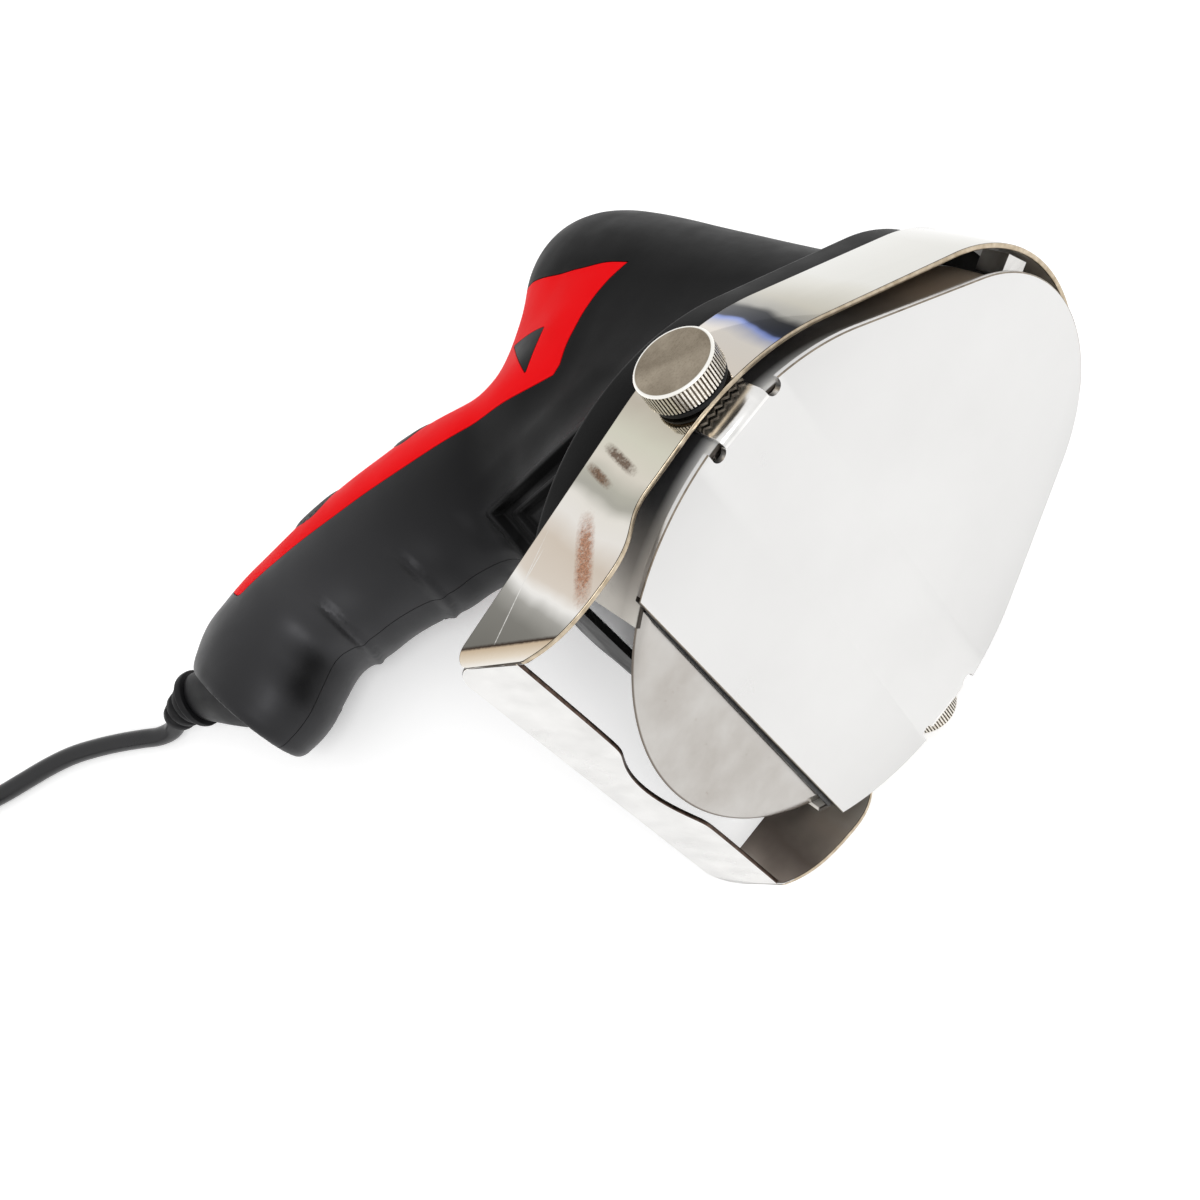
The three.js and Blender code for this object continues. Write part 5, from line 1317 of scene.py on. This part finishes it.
def blade():
    profile = [[5.3, -0.5], [5.6, -0.5], [46.8, -0.5], [47.4, -0.42], [49.4, 0.28], [49.5, 0.35], [49.4, 0.47],
               [49.2, 0.5], [5.3, 0.5]]
    disc = turned("disc", profile, "y", (0, 0), 192)
    work = bmesh.new()
    work.from_mesh(disc.data)
    caps = [f for f in work.faces if len(f.verts) > 8]
    bmesh.ops.delete(work, geom=caps, context="FACES")
    open_edges = [e for e in work.edges if len(e.link_faces) == 1]
    bmesh.ops.bridge_loops(work, edges=open_edges)
    bmesh.ops.recalc_face_normals(work, faces=work.faces)
    work.to_mesh(disc.data)
    work.free()
    finished(disc, "round_blade", BLADE_STEEL, "blade_unit", "blade_steel", "blade", angle=25)


def gear_case():
    rings = []
    for y, shrink in ((14.8, 0.35), (14.95, 0.1), (15.2, 0), (27.2, 0), (27.8, 0.15), (28.25, 0.5), (28.5, 1.1)):
        outline = egg(52.6 - shrink, 35.3 - shrink, -35.4, 72)
        rings.append([(px, y, pz) for px, pz in outline])
    case = lofted("case", rings)
    hollow = plank("hollow", egg(32.2, 11.5, None, 40), 10, 25)
    bore = turned("bore", [[0, 20], [8.4, 20], [8.4, 40], [0, 40]], "y", (0, 0), 40)
    shaft = turned("shaft_bore", [[0, 20], [3.4, 20], [3.4, 40], [0, 40]], "y", (0, MOTOR_HEIGHT), 32)
    for tool in (hollow, bore, shaft):
        carved(case, tool)
    scrap(hollow, bore, shaft)
    finished(case, "gear_case_flange", FLANGE_BLACK, "housing", "black_plastic", "gear_case", angle=30)


face_plate()
guard_ring()
guide_band()
blade()
gear_case()


# Thumb knobs: turned head and screw, with straight knurling laid round the rim by nodes
def node_tree(name, *sockets):
    tree = bpy.data.node_groups.new(name, "GeometryNodeTree")
    tree.interface.new_socket("Geometry", in_out="INPUT", socket_type="NodeSocketGeometry")
    tree.interface.new_socket("Geometry", in_out="OUTPUT", socket_type="NodeSocketGeometry")
    keys = {label: tree.interface.new_socket(label, in_out="INPUT", socket_type=kind).identifier
            for label, kind in sockets}
    return tree, keys, tree.nodes.new("NodeGroupInput"), tree.nodes.new("NodeGroupOutput")


def put(tree, kind, settings=None, links=None, **inputs):
    made = tree.nodes.new(kind)
    for key, value in (settings or {}).items():
        setattr(made, key, value)
    for key, value in {**inputs, **(links or {})}.items():
        socket = made.inputs[key] if isinstance(key, int) else made.inputs[key.replace("_", " ")]
        if hasattr(value, "is_output"):
            tree.links.new(value, socket)
        else:
            socket.default_value = value
    return made


def knurl_tree():
    tree, keys, given, out = node_tree(
        "straight_knurl", ("Ridges", "NodeSocketInt"), ("Radius", "NodeSocketFloat"),
        ("Ridge width", "NodeSocketFloat"), ("Ridge depth", "NodeSocketFloat"),
        ("Length", "NodeSocketFloat"), ("Finish", "NodeSocketMaterial"))
    ring = put(tree, "GeometryNodeMeshCircle", Vertices=given.outputs["Ridges"], Radius=given.outputs["Radius"])
    size = put(tree, "ShaderNodeCombineXYZ", X=given.outputs["Ridge depth"], Y=given.outputs["Ridge width"],
               Z=given.outputs["Length"])
    ridge = put(tree, "GeometryNodeMeshCube", Size=size.outputs[0])
    index = put(tree, "GeometryNodeInputIndex").outputs[0]
    share = put(tree, "ShaderNodeMath", {"operation": "DIVIDE"}, {0: index, 1: given.outputs["Ridges"]})
    angle = put(tree, "ShaderNodeMath", {"operation": "MULTIPLY"}, {0: share.outputs[0], 1: 2 * math.pi})
    turn = put(tree, "ShaderNodeCombineXYZ", Z=angle.outputs[0])
    laid_out = put(tree, "GeometryNodeInstanceOnPoints", Points=ring.outputs[0], Instance=ridge.outputs[0],
                   Rotation=turn.outputs[0])
    real = put(tree, "GeometryNodeRealizeInstances", Geometry=laid_out.outputs[0])
    done = put(tree, "GeometryNodeSetMaterial", Geometry=real.outputs[0], Material=given.outputs["Finish"])
    tree.links.new(done.outputs[0], out.inputs[0])
    return tree, keys


def grown(name, tree, keys, **values):
    """What a node tree makes, as a plain mesh object."""
    obj = raw(name, [(0, 0, 0)], [])
    step = obj.modifiers.new(name, "NODES")
    step.node_group = tree
    for label, value in values.items():
        step[keys[label.replace("_", " ")]] = value
    bpy.context.view_layer.update()
    data = bpy.data.meshes.new_from_object(obj.evaluated_get(bpy.context.evaluated_depsgraph_get()))
    obj.modifiers.clear()
    old = obj.data
    obj.data = data
    bpy.data.meshes.remove(old)
    return obj


KNURL, KNURL_KEYS = knurl_tree()
KNURL_RIDGES, RIDGE_WIDTH, RIDGE_DEPTH = 66, 0.36, 0.5
WASHER = [[2.4, 55.3], [6.6, 55.3], [6.95, 55.5], [7.0, 55.9], [6.95, 56.3], [6.6, 56.5], [2.4, 56.5]]


def thumb_knob(side):
    word = "left" if side < 0 else "right"
    material = knob_finish(side)
    r, x0, x1 = KNOB_RADIUS, KNOB_IN, KNOB_OUT
    profile = [[0, x1 - 12.9], [1.8, x1 - 12.9], [2.1, x1 - 12.6], [2.1, x0], [r - 0.6, x0], [r - 0.36, x0 + 0.2],
               [r - 0.36, x1 - 0.42], [r - 0.05, x1 - 0.4], [r, x1 - 0.34], [r - 0.02, x1 - 0.26],
               [r - 0.22, x1 - 0.03], [r - 0.3, x1], [r - 0.5, x1], [0, x1]]
    head = turned("head", [[a, side * b] for a, b in profile], "x", (KNOB_Y, KNOB_Z), 96)
    ridges = grown("ridges", KNURL, KNURL_KEYS, Ridges=KNURL_RIDGES, Radius=r - 0.27, Ridge_width=RIDGE_WIDTH,
                   Ridge_depth=RIDGE_DEPTH, Length=x1 - x0 - 0.62, Finish=material)
    stand = Matrix.Translation((side * (x0 + x1 - 0.2) / 2, KNOB_Y, KNOB_Z)) @ Matrix.Rotation(math.pi / 2, 4, "Y")
    ridges.data.transform(stand)
    finished(joined("knob", head, ridges), "knurled_knob_" + word, material, "knob_" + word, "satin_nickel",
             "thumb_knob_" + word)
    washer = turned("washer", WASHER, "x", (KNOB_Y, KNOB_Z), 72)
    if side < 0:
        washer.data.transform(Matrix.Scale(-1, 4, (1, 0, 0)))
        outward(washer)
    hole = screw_hole(side, 50, 60, 40)
    carved(washer, hole)
    scrap(hole)
    finished(washer, "rubber_washer_" + word, RUBBER, "housing", "black_rubber", "knob_washer_" + word)


for knob_side in (-1, 1):
    thumb_knob(knob_side)


# Studio
WORLD_LIGHT, WORLD_SEEN, FLOOR_GLOW = 0.82, 1.0, 0.33
WINDOW_STRENGTH, WINDOW_SPREAD, WINDOW_WAY = 0.75, math.radians(24), (0.06, 0.43, -0.90)
FLOOR_HALF, FLOOR_LEVEL = 3, -0.0004


def seen_directly(tree, unseen, seen):
    """A strength for what the camera, metal and glass see, and another for the light that it gives."""
    path = tree.nodes.new("ShaderNodeLightPath")
    most = path.outputs["Is Camera Ray"]
    for kind in ("Is Glossy Ray", "Is Transmission Ray"):
        step = tree.nodes.new("ShaderNodeMath")
        step.operation = "MAXIMUM"
        tree.links.new(most, step.inputs[0])
        tree.links.new(path.outputs[kind], step.inputs[1])
        most = step.outputs[0]
    span = tree.nodes.new("ShaderNodeMapRange")
    tree.links.new(most, span.inputs["Value"])
    span.inputs["To Min"].default_value, span.inputs["To Max"].default_value = unseen, seen
    return span.outputs[0]


def studio():
    """White surroundings, a pale floor that keeps the shadow, and one soft window light."""
    scene = bpy.context.scene
    scene.view_settings.view_transform = "Standard"
    world = bpy.data.worlds.new("white_studio")
    world.use_nodes = True
    sky = world.node_tree.nodes["Background"]
    sky.inputs["Color"].default_value = (1, 1, 1, 1)
    world.node_tree.links.new(seen_directly(world.node_tree, WORLD_LIGHT, WORLD_SEEN), sky.inputs["Strength"])
    scene.world = world
    corners = ((-1, -1), (1, -1), (1, 1), (-1, 1))
    floor = raw("studio_floor", [(x * FLOOR_HALF, y * FLOOR_HALF, FLOOR_LEVEL) for x, y in corners], [(0, 1, 2, 3)])
    f = Finish("pale_floor")
    f.set(Base_Color=f.ramp(f.noise(6, 2), (0.3, 0.91), (0.7, 0.93)), Roughness=0.9, Specular_IOR_Level=0.0,
          Emission_Color=(1, 1, 1, 1), Emission_Strength=seen_directly(f.tree, 0.0, FLOOR_GLOW))
    floor.data.materials.append(f.material)
    lamp = bpy.data.lights.new("window_light", "SUN")
    lamp.energy, lamp.angle = WINDOW_STRENGTH, WINDOW_SPREAD
    window = bpy.data.objects.new("window_light", lamp)
    scene.collection.objects.link(window)
    window.rotation_euler = Vector(WINDOW_WAY).to_track_quat("-Z", "Y").to_euler()


studio()
